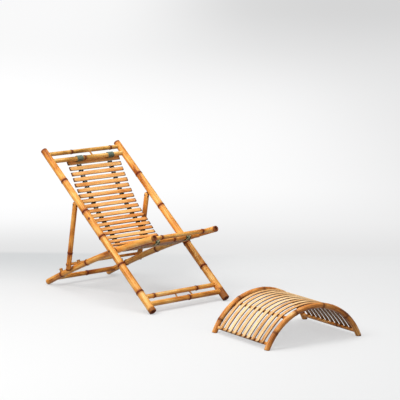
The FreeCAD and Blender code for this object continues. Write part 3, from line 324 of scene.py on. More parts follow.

# %% [markdown]
# Bamboo skin is a smooth, slightly waxy wall of long straight fibres. Its honey colour drifts in
# soft patches, freckles here and there, and turns brown in a thin band at every swollen ring. Its
# palest streaks are a painted highlight, laid along the fibres by noise.
# Each grown pole carries its own straightened coordinates in an attribute called grain, so that the
# fibres follow a bent pole too. to_ring is the distance to the next ring, cut marks a sawn end, and
# stained marks a foot or a head that damp has darkened.

# %% Bamboo skin
def bamboo_skin(name, pale, middle, deep, ring_colour, pith, painted_highlight=(255, 228, 176), ring_strength=1.0,
                freckle=1.0, patch=1.0, knot_scar=None):
    pale, middle, deep, ring_colour, pith, painted_highlight = map(shade, (pale, middle, deep, ring_colour, pith, painted_highlight))
    skin = Finish(name, coat=0.07, coat_roughness=0.22)
    grain = skin.attribute("grain", "Vector")
    tone, to_ring, cut, stained = map(skin.attribute, ("tone", "to_ring", "cut", "stained"))
    fibre = skin.noise(grain, (950.0, 950.0, 9.0), detail=3.0, roughness=0.6)
    streak = skin.noise(grain, (210.0, 210.0, 3.2), detail=3.0, roughness=0.55)
    cloud = skin.noise(grain, (26.0, 26.0, 9.0), detail=4.0, roughness=0.55, distortion=0.4)
    drift = skin.noise(grain, (8.0, 8.0, 4.0))
    blend = (cloud - 0.5) * (1.2 * patch) + (streak - 0.5) * 1.15 + (fibre - 0.5) * 0.6
    blend = blend + (drift - 0.5) * (0.9 * patch) + tone * 0.35 + 0.5
    # The last stop is a painted highlight: the palest streaks stand in for the gloss of the skin.
    colour = skin.ramp(blend, ((0.14, deep), (0.45, middle), (0.74, pale), (1.0, painted_highlight)))
    dots = skin.noise(grain, (420.0, 420.0, 170.0), detail=1.0)
    dots = skin.step(dots, 0.70, 0.78) * skin.step(cloud, 0.62, 0.45)
    colour = skin.mix(dots * (0.55 * freckle), colour, ring_colour)
    halo = skin.step(to_ring + (streak - 0.5) * 0.012, 0.026, 0.006) * (0.6 * ring_strength)
    colour = skin.mix(halo, colour, deep)
    band = skin.step(to_ring + (streak - 0.5) * 0.0030, 0.0078, 0.0048) * (0.95 * ring_strength)
    colour = skin.mix(band, colour, ring_colour)
    crest = skin.step(to_ring, 0.0018, 0.0004) * (0.45 * ring_strength)
    colour = skin.mix(crest, colour, deep)
    stained = skin.step(stained + (streak - 0.5) * 0.9, 0.3, 0.75)
    colour = skin.mix(stained * (0.5 + cloud * 0.5), colour, ring_colour)
    if knot_scar:
        away = skin.vector_maths("DISTANCE", skin.place(), knot_scar, "Value")
        scar = skin.step(away + (cloud - 0.5) * 0.006, 0.0105, 0.0065)
        colour = skin.mix(scar * 0.9, colour, ring_colour)
    sawn = skin.noise(grain, (1500.0, 1500.0, 60.0))
    end_colour = skin.mix(skin.step(sawn, 0.35, 0.7), ring_colour, pith)
    colour = skin.mix(skin.step(cut, 0.15, 0.4), colour, end_colour)
    colour = skin.mix(skin.step(cut, 0.6, 0.9), colour, pith)
    roughness = 0.34 + cloud * 0.16 + skin.step(cut, 0.1, 0.4) * 0.35 + band * 0.3 + stained * 0.3
    height = fibre * 0.5 + streak * 0.6 + cloud * 0.5
    return skin.finish(colour, roughness, height, depth=0.0005)


print("a skin can be mixed from six colours")

# %% The three skins
HONEY = bamboo_skin("bamboo_honey", pale=(252, 196, 108), middle=(232, 152, 62), deep=(150, 72, 18),
                    ring_colour=(104, 34, 6), pith=(172, 106, 72), knot_scar=(-0.5550, -0.2971, 0.4757))
OLIVE = bamboo_skin("bamboo_olive", pale=(240, 186, 104), middle=(206, 150, 70), deep=(128, 86, 30),
                    ring_colour=(112, 34, 8), pith=(112, 60, 36))
CARAMEL = bamboo_skin("bamboo_caramel", pale=(236, 166, 88), middle=(206, 126, 52), deep=(118, 56, 12),
                      ring_colour=(86, 34, 6), pith=(110, 58, 30), painted_highlight=(250, 204, 140),
                      ring_strength=0.6, freckle=1.3, patch=1.7)
print("skins made:", HONEY.name, OLIVE.name, CARAMEL.name)

# %% [markdown]
# A pole is grown the way bamboo grows: round sections are strung along a line, a little uneven,
# and swell at each ring into a soft bulge with a thin sharp ridge. Plain cylinders would look like
# pipes. Building the sections one by one keeps the fibres, rings and sawn ends in exact places.

# %% Outline of one swollen ring
MILLI = 0.001
RING_STEPS = (-14, -10, -7, -5, -4, -3.4, -2.9, -2.5, -2.1, -1.6, -1.0, -0.3,
              0.4, 1.2, 2.2, 3.4, 5, 7, 10, 14)
RING_STRETCH = 0.015
COARSE_STEP = 0.03
EDGE = 0.0009
SLIGHT_TAPER = 0.0004
FOOT_STAIN, FOOT_STAIN_FADE = 0.006, 0.012
HEAD_STAIN, HEAD_STAIN_FADE = 0.013, 0.005


def ring_profile(distance):
    """How far the wall stands out at a distance past the middle of a ring."""
    bulge = 0.0017 * math.exp(-(distance / 0.0065) ** 2)
    ridge = 0.0009 * math.exp(-((distance + 0.0025) / 0.0008) ** 2)
    groove = 0.0007 * math.exp(-((distance + 0.0008) / 0.0008) ** 2)
    return bulge + ridge - groove


print("ring stands out by", round(max(ring_profile(step * MILLI) for step in RING_STEPS) / MILLI, 2), "mm")

# %% Sections and ends of a pole
def sections(length, rings):
    """Places along a pole where it needs a round section."""
    count = max(2, int(length / COARSE_STEP))
    places = {length * index / count for index in range(count + 1)}
    for ring in rings:
        near = [ring + step * MILLI for step in RING_STEPS]
        places = {place for place in places if abs(place - ring) > RING_STRETCH}
        places.update(place for place in near if 0.0 < place < length)
    stain_edges = {FOOT_STAIN, length - HEAD_STAIN, length - HEAD_STAIN + HEAD_STAIN_FADE}
    return sorted(places | stain_edges | {0.0, length})


def end_loops(radius, bore):
    """Depth, reach and sawn mark of what closes an end, from its edge to its middle.

    A sawn end turns in over the wall, runs down the bore and closes at the next ring inside.
    """
    if bore is None:
        return (0.0, radius, 0.3), (0.0, 0.0, 0.3)
    return ((0.0, radius - EDGE, 0.35), (0.0, bore + 0.0008, 0.45), (0.0012, bore, 0.45),
            (0.011, bore * 0.97, 0.5), (0.0135, bore * 0.72, 0.95), (0.0142, bore * 0.3, 1.0),
            (0.0144, 0.0, 1.0))


print("a pole of 1 m with one ring has", len(sections(1.0, [0.5])), "sections")

# %% Small helpers for meshes
def bridge(first, second, count):
    """Faces between two closed loops of points, each given by its first point."""
    return [(first + index, first + (index + 1) % count, second + (index + 1) % count, second + index)
            for index in range(count)]


def new_piece(name, points, faces=(), edges=(), marks=None):
    """Object from plain lists. Each mark is a number or a vector for every point."""
    mesh = bpy.data.meshes.new(name)
    mesh.from_pydata([tuple(point) for point in points], list(edges), list(faces))
    for label, rows in (marks or {}).items():
        if isinstance(rows[0], float):
            mesh.attributes.new(label, "FLOAT", "POINT").data.foreach_set("value", rows)
        else:
            flat = [value for row in rows for value in row]
            mesh.attributes.new(label, "FLOAT_VECTOR", "POINT").data.foreach_set("vector", flat)
    return stand(name, mesh)


def face_outwards(mesh):
    work = bmesh.new()
    work.from_mesh(mesh)
    bmesh.ops.recalc_face_normals(work, faces=work.faces)
    work.to_mesh(mesh)
    work.free()
    mesh.shade_smooth()


def straight(start, direction):
    direction = direction.normalized()
    return lambda place: (start + direction * place, direction)


print("two loops of 28 points take", len(bridge(0, 28, 28)), "faces")

# %% Grow one pole
def grow(name, line, side_way, length, radii, rings, seed, tone=0.0, bore=None, open_start=False,
         open_end=False, sides=28, ring_size=1.0, on_floor=False, stained_foot=FOOT_STAIN):
    """Pole along a line, with its fibres, rings and sawn ends written into marks."""
    rng = random.Random(seed)
    phases = [rng.uniform(0, math.tau) for _ in range(4)]
    shift = Vector([rng.uniform(-3, 3) for _ in range(3)])
    points, faces = [], []
    marks = {"to_ring": [], "cut": [], "stained": [], "tone": [], "grain": []}

    def put_point(point, to_ring, cut, stained, grain):
        points.append(point)
        for rows, value in zip(marks.values(), (to_ring, cut, stained, tone, Vector(grain) + shift)):
            rows.append(value)

    def radius_at(place):
        wave = 0.004 * math.sin(9 * place + phases[2]) + 0.003 * math.sin(23 * place + phases[3])
        base = (radii[0] + (radii[1] - radii[0]) * (place / length)) * (1 + wave)
        return base + ring_size * sum(ring_profile(place - ring) for ring in rings)

    def section(place, radius, cut):
        point, tangent = line(place)
        second = tangent.cross(side_way).normalized()
        to_ring = min(abs(place - ring) for ring in rings)
        foot_stain = (stained_foot - place) / FOOT_STAIN_FADE if open_start else 0.0
        head_stain = (place - length + HEAD_STAIN) / HEAD_STAIN_FADE if open_end else 0.0
        stained = min(max(foot_stain, head_stain, 0.0), 1.0)
        for index in range(sides):
            angle = math.tau * index / sides
            cosine, sine = math.cos(angle), math.sin(angle)
            oval = math.sin(2 * angle + phases[0] + 3 * place)
            swing = radius * (1 + 0.008 * (oval + 0.7 * math.sin(3 * angle + phases[1] - 5 * place)))
            spot = point + side_way * (cosine * swing) + second * (sine * swing)
            if on_floor and spot.z < 0:
                spot.z = 0.0
            put_point(spot, to_ring, cut, stained, (cosine * radius, sine * radius, place))
        return len(points) - sides

    def close_end(rim, place, inward, opened):
        *loops, (depth, _, middle_cut) = end_loops(radius_at(place), bore if opened else None)
        for loop_depth, reach, cut in loops:
            loop = section(place + inward * loop_depth, reach, cut)
            faces.extend(bridge(rim, loop, sides) if inward < 0 else bridge(loop, rim, sides))
            rim = loop
        middle = len(points)
        put_point(line(place + inward * depth)[0], 0.5, middle_cut, 0.0, (0, 0, place))
        for index in range(sides):
            corners = (rim + index, rim + (index + 1) % sides, middle)
            faces.append(corners if inward < 0 else corners[::-1])

    places = sections(length, rings)
    places[0], places[-1] = EDGE, length - EDGE
    loops = [section(place, radius_at(place), 0.0) for place in places]
    for first, second in zip(loops, loops[1:]):
        faces.extend(bridge(first, second, sides))
    close_end(loops[0], 0.0, 1, open_start)
    close_end(loops[-1], length, -1, open_end)
    pole = new_piece(name, points, faces, marks=marks)
    face_outwards(pole.data)
    return pole


print("a pole can now be grown along any line")

# %% Grow a rail, and give a piece its place in the chair
def grow_rail(name, middle, length, radius, rings, **more):
    """Pole of one thickness straight across the chair, on both sides of its middle."""
    start = middle + across * (-length / 2)
    return grow(name, straight(start, across), forward, length, (radius, radius), rings, **more)


def carry(piece, body, nodes, material=None):
    """Let a piece ride on its body and stand for its solids and its finish."""
    if material:
        piece.data.materials.clear()
        piece.data.materials.append(material)
    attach(piece, body)
    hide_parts(*nodes)


# %% [markdown]
# Two thick poles lean back. They taper a little, and their rings sit at different heights, because
# they were cut from different stems. The far pole's foot is stained dark for its last few centimetres.

# %% The two main poles
POLE_RINGS = {"right": (0.1148, 0.2799, 0.4511, 0.6073, 0.8018), "left": (0.1963, 0.3442, 0.5813, 0.7881)}
STAINED_FEET = {"right": 0.034, "left": 0.070}
for number, (side_name, side) in enumerate(SIDES):
    pole = grow("pole_" + side_name, straight(on_pole(0, side * POLE_GAUGE / 2), pole_up), across,
                POLE_LENGTH, (POLE_FOOT_RADIUS, POLE_TOP_RADIUS),
                [share * POLE_LENGTH for share in POLE_RINGS[side_name]], seed=11 + number, tone=0.05,
                bore=0.013, open_start=True, open_end=True, on_floor=True,
                stained_foot=STAINED_FEET[side_name])
    carry(pole, "main_frame", ["main_pole_" + side_name], HONEY)
print("main poles grown")

# %% [markdown]
# Thinner culms run across: two rails at the head, two at the feet. Their ends sit inside the poles,
# so they need no sawn ends.

# %% Rails of the main frame
RAIL_ENTRY = 0.008
RAIL_LENGTH = POLE_GAUGE + 2 * RAIL_ENTRY
MAT_RAIL_STATION = 1.1935
MAT_RAIL_RADIUS = 0.0135
RAILS = (
    ("foot_rail_lower", 0.0561, 0.0155, (0.105,), 0.0, HONEY),
    ("foot_rail_upper", 0.1105, 0.0135, (-0.726, 0.433), 0.1, HONEY),
    ("mat_rail", MAT_RAIL_STATION, MAT_RAIL_RADIUS, (-0.105,), 0.25, OLIVE),
    ("top_rail", 1.2495, 0.0125, (-0.341, 0.730), 0.05, OLIVE),
)
for number, (node, station, radius, shares, tone, skin) in enumerate(RAILS):
    rings = [RAIL_LENGTH / 2 + share * POLE_GAUGE / 2 for share in shares]
    rail = grow_rail(node + "_culm", on_pole(station), RAIL_LENGTH, radius, rings, seed=31 + number,
                     tone=tone, sides=22)
    carry(rail, "main_frame", [node], skin)
print("rails grown:", len(RAILS))

# %% [markdown]
# The seat frame's two rails are stouter and bowed. The same growing works, because the line that a
# pole follows can bend: here it is an arc of about seven metres radius.

# %% Bowed seat rails and their crossrails
def seat_line(side):
    def line(place):
        normal = seat_normal(place)
        return seat_centre + normal * seat_bend + across * (side * SEAT_GAUGE / 2), across.cross(normal)
    return line


SEAT_RINGS = {"right": (0.146, 0.391, 0.650), "left": (0.186, 0.476)}
for number, (side_name, side) in enumerate(SIDES):
    rings = [share * SEAT_CHORD for share in SEAT_RINGS[side_name]]
    rail = grow("seat_rail_%s_culm" % side_name, seat_line(side), across, SEAT_CHORD,
                (SEAT_RADIUS - SLIGHT_TAPER, SEAT_RADIUS), rings, seed=51 + number, bore=0.0105,
                open_start=True, open_end=True, on_floor=True)
    carry(rail, "seat_frame", ["seat_rail_" + side_name], HONEY)

SEAT_RAIL_ENTRY = 0.006
TENON_SHOULDER = -0.014
MAT_CROSSRAIL_STATION = 0.914
MAT_CROSSRAIL_OVER = -0.009
MAT_CROSSRAIL_RADIUS = 0.0130
CROSSRAILS = (
    ("front_crossrail", 1.039, 0.0, 0.0120, (-0.701, 0.624), 0.1, SEAT_RAIL_ENTRY),
    ("mat_crossrail", MAT_CROSSRAIL_STATION, MAT_CROSSRAIL_OVER, MAT_CROSSRAIL_RADIUS, (0.12,), -0.2,
     TENON_SHOULDER),
    ("rear_crossrail", 0.077, 0.0, 0.0140, (0.031,), -0.1, SEAT_RAIL_ENTRY),
)
for number, (node, station, over, radius, shares, tone, entry) in enumerate(CROSSRAILS):
    reach = SEAT_GAUGE + 2 * entry
    rings = [reach / 2 + share * SEAT_GAUGE / 2 for share in shares]
    rail = grow_rail(node + "_culm", on_seat(station, over), reach, radius, rings, seed=61 + number,
                     tone=tone, sides=22)
    carry(rail, "seat_frame", [node], HONEY)
print("seat frame grown")

# %% [markdown]
# Each prop strut is a slim culm whose head is sawn into a fork. The fork is cut with a Boolean,
# because the slot has to meet round walls cleanly; the cutter is a plain block that is thrown away.

# %% Forked head of a strut
STRUT_RADIUS = 0.015
STRUT_HEAD = 0.015
STRUT_TAIL = 0.038
STRUT_GAUGE = 0.550
STRUT_RING = 0.300
HEAD_ROUNDING = 0.006
HEAD_SHARE = 0.62
FORK_SLOT = 0.0086
FORK_DEPTH = 0.0125
CUTTER_WIDTH = 0.05
CUTTER_SPARE = 0.01
CROSSBAR_OVERHANG = 0.002


def round_head(piece, head):
    """Draw the head's edge in, as if it was rounded with a knife."""
    for vertex in piece.data.vertices:
        down = (vertex.co - head).dot(prop_down)
        if down < HEAD_ROUNDING:
            axis_point = head + prop_down * down
            share = HEAD_SHARE + (1 - HEAD_SHARE) * max(down, 0.0) / HEAD_ROUNDING
            vertex.co = axis_point + (vertex.co - axis_point) * share


def fork(piece, middle):
    """Saw a slot into the head of a strut."""
    depth = STRUT_HEAD + FORK_DEPTH + CUTTER_SPARE
    bpy.ops.mesh.primitive_cube_add(size=1.0)
    cutter = bpy.context.object
    turn = Matrix((prop_down.cross(across), across, prop_down)).transposed().to_4x4()
    centre = middle + prop_down * (FORK_DEPTH - depth / 2)
    size = Matrix.Diagonal((CUTTER_WIDTH, FORK_SLOT, depth, 1.0))
    cutter.matrix_world = Matrix.Translation(centre) @ turn @ size
    cut = piece.modifiers.new("fork", "BOOLEAN")
    cut.operation = "DIFFERENCE"
    cut.solver = "EXACT"
    cut.object = cutter
    bpy.context.view_layer.update()
    mesh = bpy.data.meshes.new_from_object(piece.evaluated_get(bpy.context.evaluated_depsgraph_get()))
    piece.modifiers.clear()
    piece.data = mesh
    bpy.data.objects.remove(cutter)


print("fork slot", FORK_SLOT / MILLI, "mm wide")

# %% Prop struts and their crossbar
for number, (side_name, side) in enumerate(SIDES):
    middle = hinge + across * (side * STRUT_GAUGE / 2)
    head = middle - prop_down * STRUT_HEAD
    strut = grow("strut_" + side_name, straight(head, prop_down), across,
                 STRUT_HEAD + prop_reach + STRUT_TAIL, (STRUT_RADIUS, STRUT_RADIUS),
                 [STRUT_HEAD + STRUT_RING], seed=71 + number, tone=-0.15, bore=0.008, open_end=True, sides=26)
    round_head(strut, head)
    fork(strut, middle)
    carry(strut, "prop_frame", ["prop_strut_" + side_name], HONEY)

bar_length = STRUT_GAUGE + 2 * (STRUT_RADIUS + CROSSBAR_OVERHANG)
crossbar = grow_rail("crossbar_culm", crossbar_middle, bar_length, CROSSBAR_RADIUS, [bar_length * 0.37],
                     seed=77, tone=-0.1, sides=18, ring_size=0.6)
carry(crossbar, "prop_frame", ["prop_crossbar"], HONEY)
print("prop grown, reach", round(prop_reach, 4))

# %% [markdown]
# Pegs, pins, washers and tongues are small whittled pieces. Their solids already have the right
# shape, so they stay and only get a finish: brown wood whose grain is read from object coordinates.

# %% Finish of the small whittled pieces
def whittled(name, light, dark):
    wood = Finish(name, coat=0.05)
    place = wood.place()
    grain = wood.noise(place, (500.0, 90.0, 260.0), detail=3.0, roughness=0.6, distortion=0.5)
    cloud = wood.noise(place, (60.0, 60.0, 60.0), detail=3.0)
    colour = wood.mix(wood.step(grain * 0.7 + cloud * 0.5, 0.42, 0.78), shade(dark), shade(light))
    return wood.finish(colour, 0.48 + grain * 0.2, grain + cloud * 0.4)


def refinish(nodes, material):
    for node in nodes:
        piece = frame["nodes"][node]
        piece.data.materials.clear()
        piece.data.materials.append(material)


def pairs(*kinds):
    return ["%s_%s" % (kind, side_name) for kind in kinds for side_name, _ in SIDES]


refinish(["top_spacer_peg"] + pairs("foot_spacer_peg", "pivot_washer", "rear_stop_peg", "front_stop_peg"),
         whittled("whittled_wood", light=(204, 142, 70), dark=(112, 62, 24)))
refinish(pairs("hinge_tongue", "pivot_dowel", "prop_hinge_pin"),
         whittled("dark_pegs", light=(112, 62, 30), dark=(46, 22, 10)))
print("small pieces finished")

# %% [markdown]
# The mat hangs from the lower rail at the head, bends in two wide curves and ends at the seat's second
# crossrail. Its side route is straight runs joined by arcs. Every knot lies on it at an even pitch, and
# each slat lies between two knots. The mat also drifts sideways a little, so that it fits between the rails.

# %% Side route of the mat
MAT_BACK_ANGLE = math.radians(58.56)
MAT_WAIST_ANGLE = math.radians(34.36)
MAT_SEAT_ANGLE = math.radians(22.04)
MAT_SETBACK = 0.0227
MAT_FRONT_GAP = 0.0222
MAT_SEAT_RUN = 0.314
MAT_BACK_BEND = 0.752
MAT_SEAT_BEND = 0.275
mat_rail_axis = on_pole(MAT_RAIL_STATION)
mat_crossrail_axis = on_seat(MAT_CROSSRAIL_STATION, MAT_CROSSRAIL_OVER)
back_way, waist_way, seat_way = map(side_view, (-MAT_BACK_ANGLE, -MAT_WAIST_ANGLE, MAT_SEAT_ANGLE))
route_start = mat_rail_axis + across.cross(back_way) * MAT_SETBACK
low_corner = mat_crossrail_axis - seat_way * MAT_SEAT_RUN
back_run = (low_corner - route_start).cross(waist_way).y / back_way.cross(waist_way).y
high_corner = route_start + back_way * back_run
high_turn = MAT_BACK_ANGLE - MAT_WAIST_ANGLE
low_turn = MAT_WAIST_ANGLE + MAT_SEAT_ANGLE
high_tangent = MAT_BACK_BEND * math.tan(high_turn / 2)
low_tangent = MAT_SEAT_BEND * math.tan(low_turn / 2)
ROUTE = (
    (back_run - high_tangent, 0.0),
    (MAT_BACK_BEND * high_turn, high_turn),
    ((low_corner - high_corner).length - high_tangent - low_tangent, 0.0),
    (MAT_SEAT_BEND * low_turn, low_turn),
    (MAT_SEAT_RUN - low_tangent - MAT_FRONT_GAP, 0.0),
)
route_length = sum(length for length, _ in ROUTE)


def on_route(distance):
    point, heading, left = route_start.copy(), -MAT_BACK_ANGLE, distance
    for length, turn in ROUTE:
        step = min(left, length)
        if turn == 0.0:
            point = point + side_view(heading) * step
        else:
            bend = length / turn
            ahead = heading + step / bend
            point = point + Vector((math.sin(ahead) - math.sin(heading), 0,
                                    math.cos(heading) - math.cos(ahead))) * bend
            heading = ahead
        left -= step
        if left <= 0:
            break
    return point


print("route", round(route_length, 4), "m")

# %% Places of the knots
SLAT_PITCH = 0.0359
MAT_BACK_SHARE = 0.26
MAT_BEND_SHARE = 0.70
MAT_BACK_OFFSET = 0.050
MAT_SEAT_OFFSET = 0.013


def mat_offset(distance):
    """How far the mat's middle lies to the left: it drifts back towards the middle over the waist."""
    ease = min(max((distance / route_length - 0.50) / 0.20, 0.0), 1.0)
    return MAT_BACK_OFFSET + (MAT_SEAT_OFFSET - MAT_BACK_OFFSET) * ease


slat_count = round(route_length / SLAT_PITCH)
knot_places = []
for index in range(slat_count + 1):
    distance = route_length * index / slat_count
    knot_places.append(on_route(distance) + across * mat_offset(distance))
back_count = round(slat_count * MAT_BACK_SHARE)
bend_end = round(slat_count * MAT_BEND_SHARE)
STRETCHES = (("back", 0, back_count), ("bend", back_count, bend_end), ("seat", bend_end, slat_count))
print(slat_count, "slats, bend from", back_count, "to", bend_end)

# %% [markdown]
# A slat is a split of bamboo: flat below, crowned above, its skin side up. Split bamboo shows more
# fibre than the whole pole, with brown streaks, and each slat has a colour of its own. It darkens
# at its ends, its side edges carry painted shade where the crown turns down, and its underside
# carries painted shade.

# %% Finish of split bamboo
def split_finish(name, pale, middle, deep, edge, contrast, edge_start):
    pale, middle, deep, edge = map(shade, (pale, middle, deep, edge))
    split = Finish(name, coat=0.03)
    tone = split.attribute("tone")
    shift = split.add("ShaderNodeCombineXYZ", {}, {"X": tone * 3.1, "Y": tone * 5.3, "Z": tone * 7.7})
    grain = split.vector_maths("ADD", split.attribute("grain", "Vector"), shift)
    fibre = split.noise(grain, (1300.0, 1300.0, 14.0), detail=3.0, roughness=0.65)
    streak = split.noise(grain, (300.0, 300.0, 5.0), detail=3.0, roughness=0.6)
    cloud = split.noise(grain, (40.0, 40.0, 12.0), detail=3.0)
    blend = (fibre - 0.5) * (0.6 * contrast) + (streak - 0.5) * contrast + (cloud - 0.5) * 0.6
    blend = blend + (tone - 0.5) * 0.32 + 0.56
    colour = split.ramp(blend, ((0.1, deep), (0.45, middle), (0.8, pale)))
    # The rim mark darkens the ends and lays painted shade on the side edges and the underside, all in the
    # edge colour.
    rim = split.step(split.attribute("rim") + (fibre - 0.5) * 0.2, edge_start, 0.98)
    colour = split.mix(rim * 0.9, colour, edge)
    return split.finish(colour, 0.40 + cloud * 0.2, fibre * 0.7 + streak * 0.5)


SLAT = split_finish("split_slat", pale=(250, 200, 128), middle=(234, 156, 78), deep=(158, 80, 28),
                    edge=(92, 40, 14), contrast=1.4, edge_start=0.8)
STRIP = split_finish("split_strip", pale=(253, 222, 172), middle=(232, 174, 106), deep=(150, 84, 32),
                     edge=(92, 42, 14), contrast=1.6, edge_start=0.68)
print("splits:", SLAT.name, STRIP.name)

# %% [markdown]
# What repeats is laid with Geometry Nodes.

# %% A small helper for node groups
FLOAT, WHOLE, OBJECT, MATERIAL = "NodeSocketFloat", "NodeSocketInt", "NodeSocketObject", "NodeSocketMaterial"


class Layout(Nodes):
    def __init__(self, name, inputs):
        super().__init__(bpy.data.node_groups.new(name, "GeometryNodeTree"))
        face = self.tree.interface
        for label, kind in {"Geometry": "NodeSocketGeometry", **inputs, "Finish": MATERIAL}.items():
            face.new_socket(label, in_out="INPUT", socket_type=kind)
        face.new_socket("Geometry", in_out="OUTPUT", socket_type="NodeSocketGeometry")
        self.inputs = self.add("NodeGroupInput")

    def given(self, label):
        return self.inputs.output(label)

    def vector(self, **parts):
        return self.add("ShaderNodeCombineXYZ", {}, parts)

    def store(self, geometry, label, value, kind="FLOAT", domain="POINT"):
        return self.add("GeometryNodeStoreNamedAttribute", {"data_type": kind, "domain": domain},
                        {"Geometry": geometry, "Name": label, "Value": value})

    def chance(self, low, high):
        """A number or a vector between two limits, drawn for each point from the seed."""
        kind, first, output = ("FLOAT_VECTOR", 0, 0) if isinstance(low, tuple) else ("FLOAT", 2, 1)
        return self.add("FunctionNodeRandomValue", {"data_type": kind},
                        {first: low, first + 1: high, "Seed": self.given("Seed")}, output)

    def sweep(self, curve, section):
        return self.add("GeometryNodeCurveToMesh", {}, {
            "Curve": curve, "Profile Curve": section, "Fill Caps": True})

    def round_cord(self, curve):
        section = self.add("GeometryNodeCurvePrimitiveCircle", {}, {
            "Resolution": 10, "Radius": self.given("Cord radius")})
        return self.sweep(curve, section)

    def on_points(self, instance, **more):
        return self.add("GeometryNodeInstanceOnPoints", {}, {
            "Points": self.given("Geometry"), "Instance": instance, **more})

    def end(self, geometry):
        real = self.add("GeometryNodeRealizeInstances", {}, {"Geometry": geometry})
        done = self.add("GeometryNodeSetMaterial", {}, {"Geometry": real, "Material": self.given("Finish")})
        self.add("NodeGroupOutput", {}, {0: done})
        return self.tree


print("a layout can now be drawn as a tree")

# %% Run a layout on points
def lay(name, group, points, values, edges=(), turns=None):
    """Run a node group on a few points and keep the result as a plain mesh."""
    seed = new_piece(name + "_points", points, edges=edges, marks={"turn": turns} if turns else None)
    modifier = seed.modifiers.new("layout", "NODES")
    modifier.node_group = group
    for item in group.interface.items_tree:
        if item.in_out == "INPUT" and item.name in values:
            modifier[item.identifier] = values[item.name]
    depsgraph = bpy.context.evaluated_depsgraph_get()
    result = bpy.data.meshes.new_from_object(seed.evaluated_get(depsgraph))
    result.name = name
    result.shade_smooth()
    seed.modifiers.clear()
    bpy.data.objects.remove(seed)
    print(name, "has", len(result.polygons), "faces")
    return stand(name, result)


print("layouts can now be run on points")

# %% [markdown]
# One tree lays slats. It draws the section of a slat as a rounded quadrilateral, sweeps it across
# the mat, crowns its top, and sets a copy on each point, turned to the mat's slope. Lengths and
# colours differ a little from slat to slat, from a fixed seed.

# %% Tree that lays slats
SLAT_SIZES = {"Slat length": 0.400, "Slat width": 0.025, "Slat thickness": 0.008,
              "Corner": 0.0017, "Crown": 0.0014}
# How much painted shade a slat's underside gets through the rim mark.
SLAT_UNDERSIDE_SHADE = 0.87


def slat_tree():
    layout = Layout("lay_slats", {**dict.fromkeys(SLAT_SIZES, FLOAT), "Seed": WHOLE})
    width, crown = layout.given("Slat width"), layout.given("Crown")
    half = layout.given("Slat length") * 0.5
    line = layout.add("GeometryNodeCurvePrimitiveLine", {}, {
        "Start": layout.vector(Y=half * -1.0), "End": layout.vector(Y=half)})
    line = layout.add("GeometryNodeResampleCurve", {}, {"Curve": line, "Count": 14})
    section = layout.add("GeometryNodeCurvePrimitiveQuadrilateral", {}, {
        "Width": width, "Height": layout.given("Slat thickness") - crown})
    section = layout.add("GeometryNodeFilletCurve", {"mode": "BEZIER"}, {
        "Curve": section, "Radius": layout.given("Corner")})
    section = layout.add("GeometryNodeResampleCurve", {}, {"Curve": section, "Count": 36})
    slat = layout.sweep(line, section)
    x = layout.add("ShaderNodeSeparateXYZ", {}, {0: layout.add("GeometryNodeInputPosition")})
    y, z = x.output(1), x.output(2)
    share = x / (width * 0.5)
    top = layout.maths("GREATER_THAN", z, 0.0)
    lift = layout.vector(Z=(1.0 - share * share) * crown * top)
    slat = layout.add("GeometryNodeSetPosition", {}, {"Geometry": slat, "Offset": lift})
    slat = layout.store(slat, "grain", layout.vector(X=x, Y=z, Z=y), "FLOAT_VECTOR")
    rim = layout.maths("MAXIMUM", abs(share), layout.maths("POWER", abs(y) / half, 60.0))
    # Painted shade over the underside of the slat.
    rim = layout.maths("MAXIMUM", rim, (1.0 - top) * SLAT_UNDERSIDE_SHADE)
    slat = layout.store(slat, "rim", rim)
    turn = layout.add("GeometryNodeInputNamedAttribute", {"data_type": "FLOAT_VECTOR"}, {"Name": "turn"})
    size = layout.chance((0.96, 0.985, 0.94), (1.03, 1.008, 1.04))
    slats = layout.on_points(slat, Rotation=turn, Scale=size)
    return layout.end(layout.store(slats, "tone", layout.chance(0.0, 1.0), domain="INSTANCE"))


SLAT_TREE = slat_tree()
print("slat tree has", len(SLAT_TREE.nodes), "nodes")

# %% Lay the slats of back, bend and seat
slat_pieces = {}
for number, (name, first, last) in enumerate(STRETCHES):
    points, turns = [], []
    for here, ahead in zip(knot_places[first:last], knot_places[first + 1:last + 1]):
        points.append((here + ahead) * 0.5)
        turns.append((0.0, -math.atan2(ahead.z - here.z, ahead.x - here.x), 0.0))
    slat_pieces[name] = lay(name + "_slats_laid", SLAT_TREE, points,
                            {**SLAT_SIZES, "Seed": 5 + number, "Finish": SLAT}, turns=turns)

# %% [markdown]
# Pairs of dark green cord run down the mat in two columns and are knotted in every gap. The cords
# are swept by one tree along their knots. A second tree sets a small overhand knot on each point.

# %% Cord finish
def cord_finish(name, light, dark, sheen=0.2):
    cord = Finish(name, sheen=sheen)
    place = cord.place()
    fuzz = cord.noise(place, (900.0, 900.0, 900.0), detail=3.0, roughness=0.7)
    strands = cord.noise(place, (260.0, 700.0, 260.0))
    colour = cord.mix(cord.step(fuzz * 0.6 + strands * 0.5, 0.38, 0.75), shade(dark), shade(light))
    return cord.finish(colour, 0.75 + fuzz * 0.2, fuzz + strands, depth=0.0006)


CORD = cord_finish("mat_cord", light=(34, 32, 20), dark=(8, 8, 4), sheen=0.0)
LASHING = cord_finish("lashing_cord", light=(132, 146, 128), dark=(64, 80, 68))
# Pale cord for the crossing turns: its colour is a painted glint.
PALE_GLINT_LASHING = cord_finish("lashing_cord_pale", light=(214, 210, 176), dark=(96, 108, 74))
# A darker copy of the lashing cord for the lower lashings: painted shade.
SHADED_LASHING = cord_finish("lashing_cord_dark", light=(66, 88, 56), dark=(18, 28, 14))
print("cord finishes made")

# %% Trees for cord and knots
KNOT_STEPS = 20
KNOT_SIDES = 5
KNOT_CORD_RADIUS = 0.0030
KNOT_DRAWN = Vector((0.9, 1.35, 1.1)) * 0.00105


def cord_tree():
    layout = Layout("run_cord", {"Cord radius": FLOAT})
    curve = layout.add("GeometryNodeMeshToCurve", {}, {"Mesh": layout.given("Geometry")})
    return layout.end(layout.round_cord(curve))


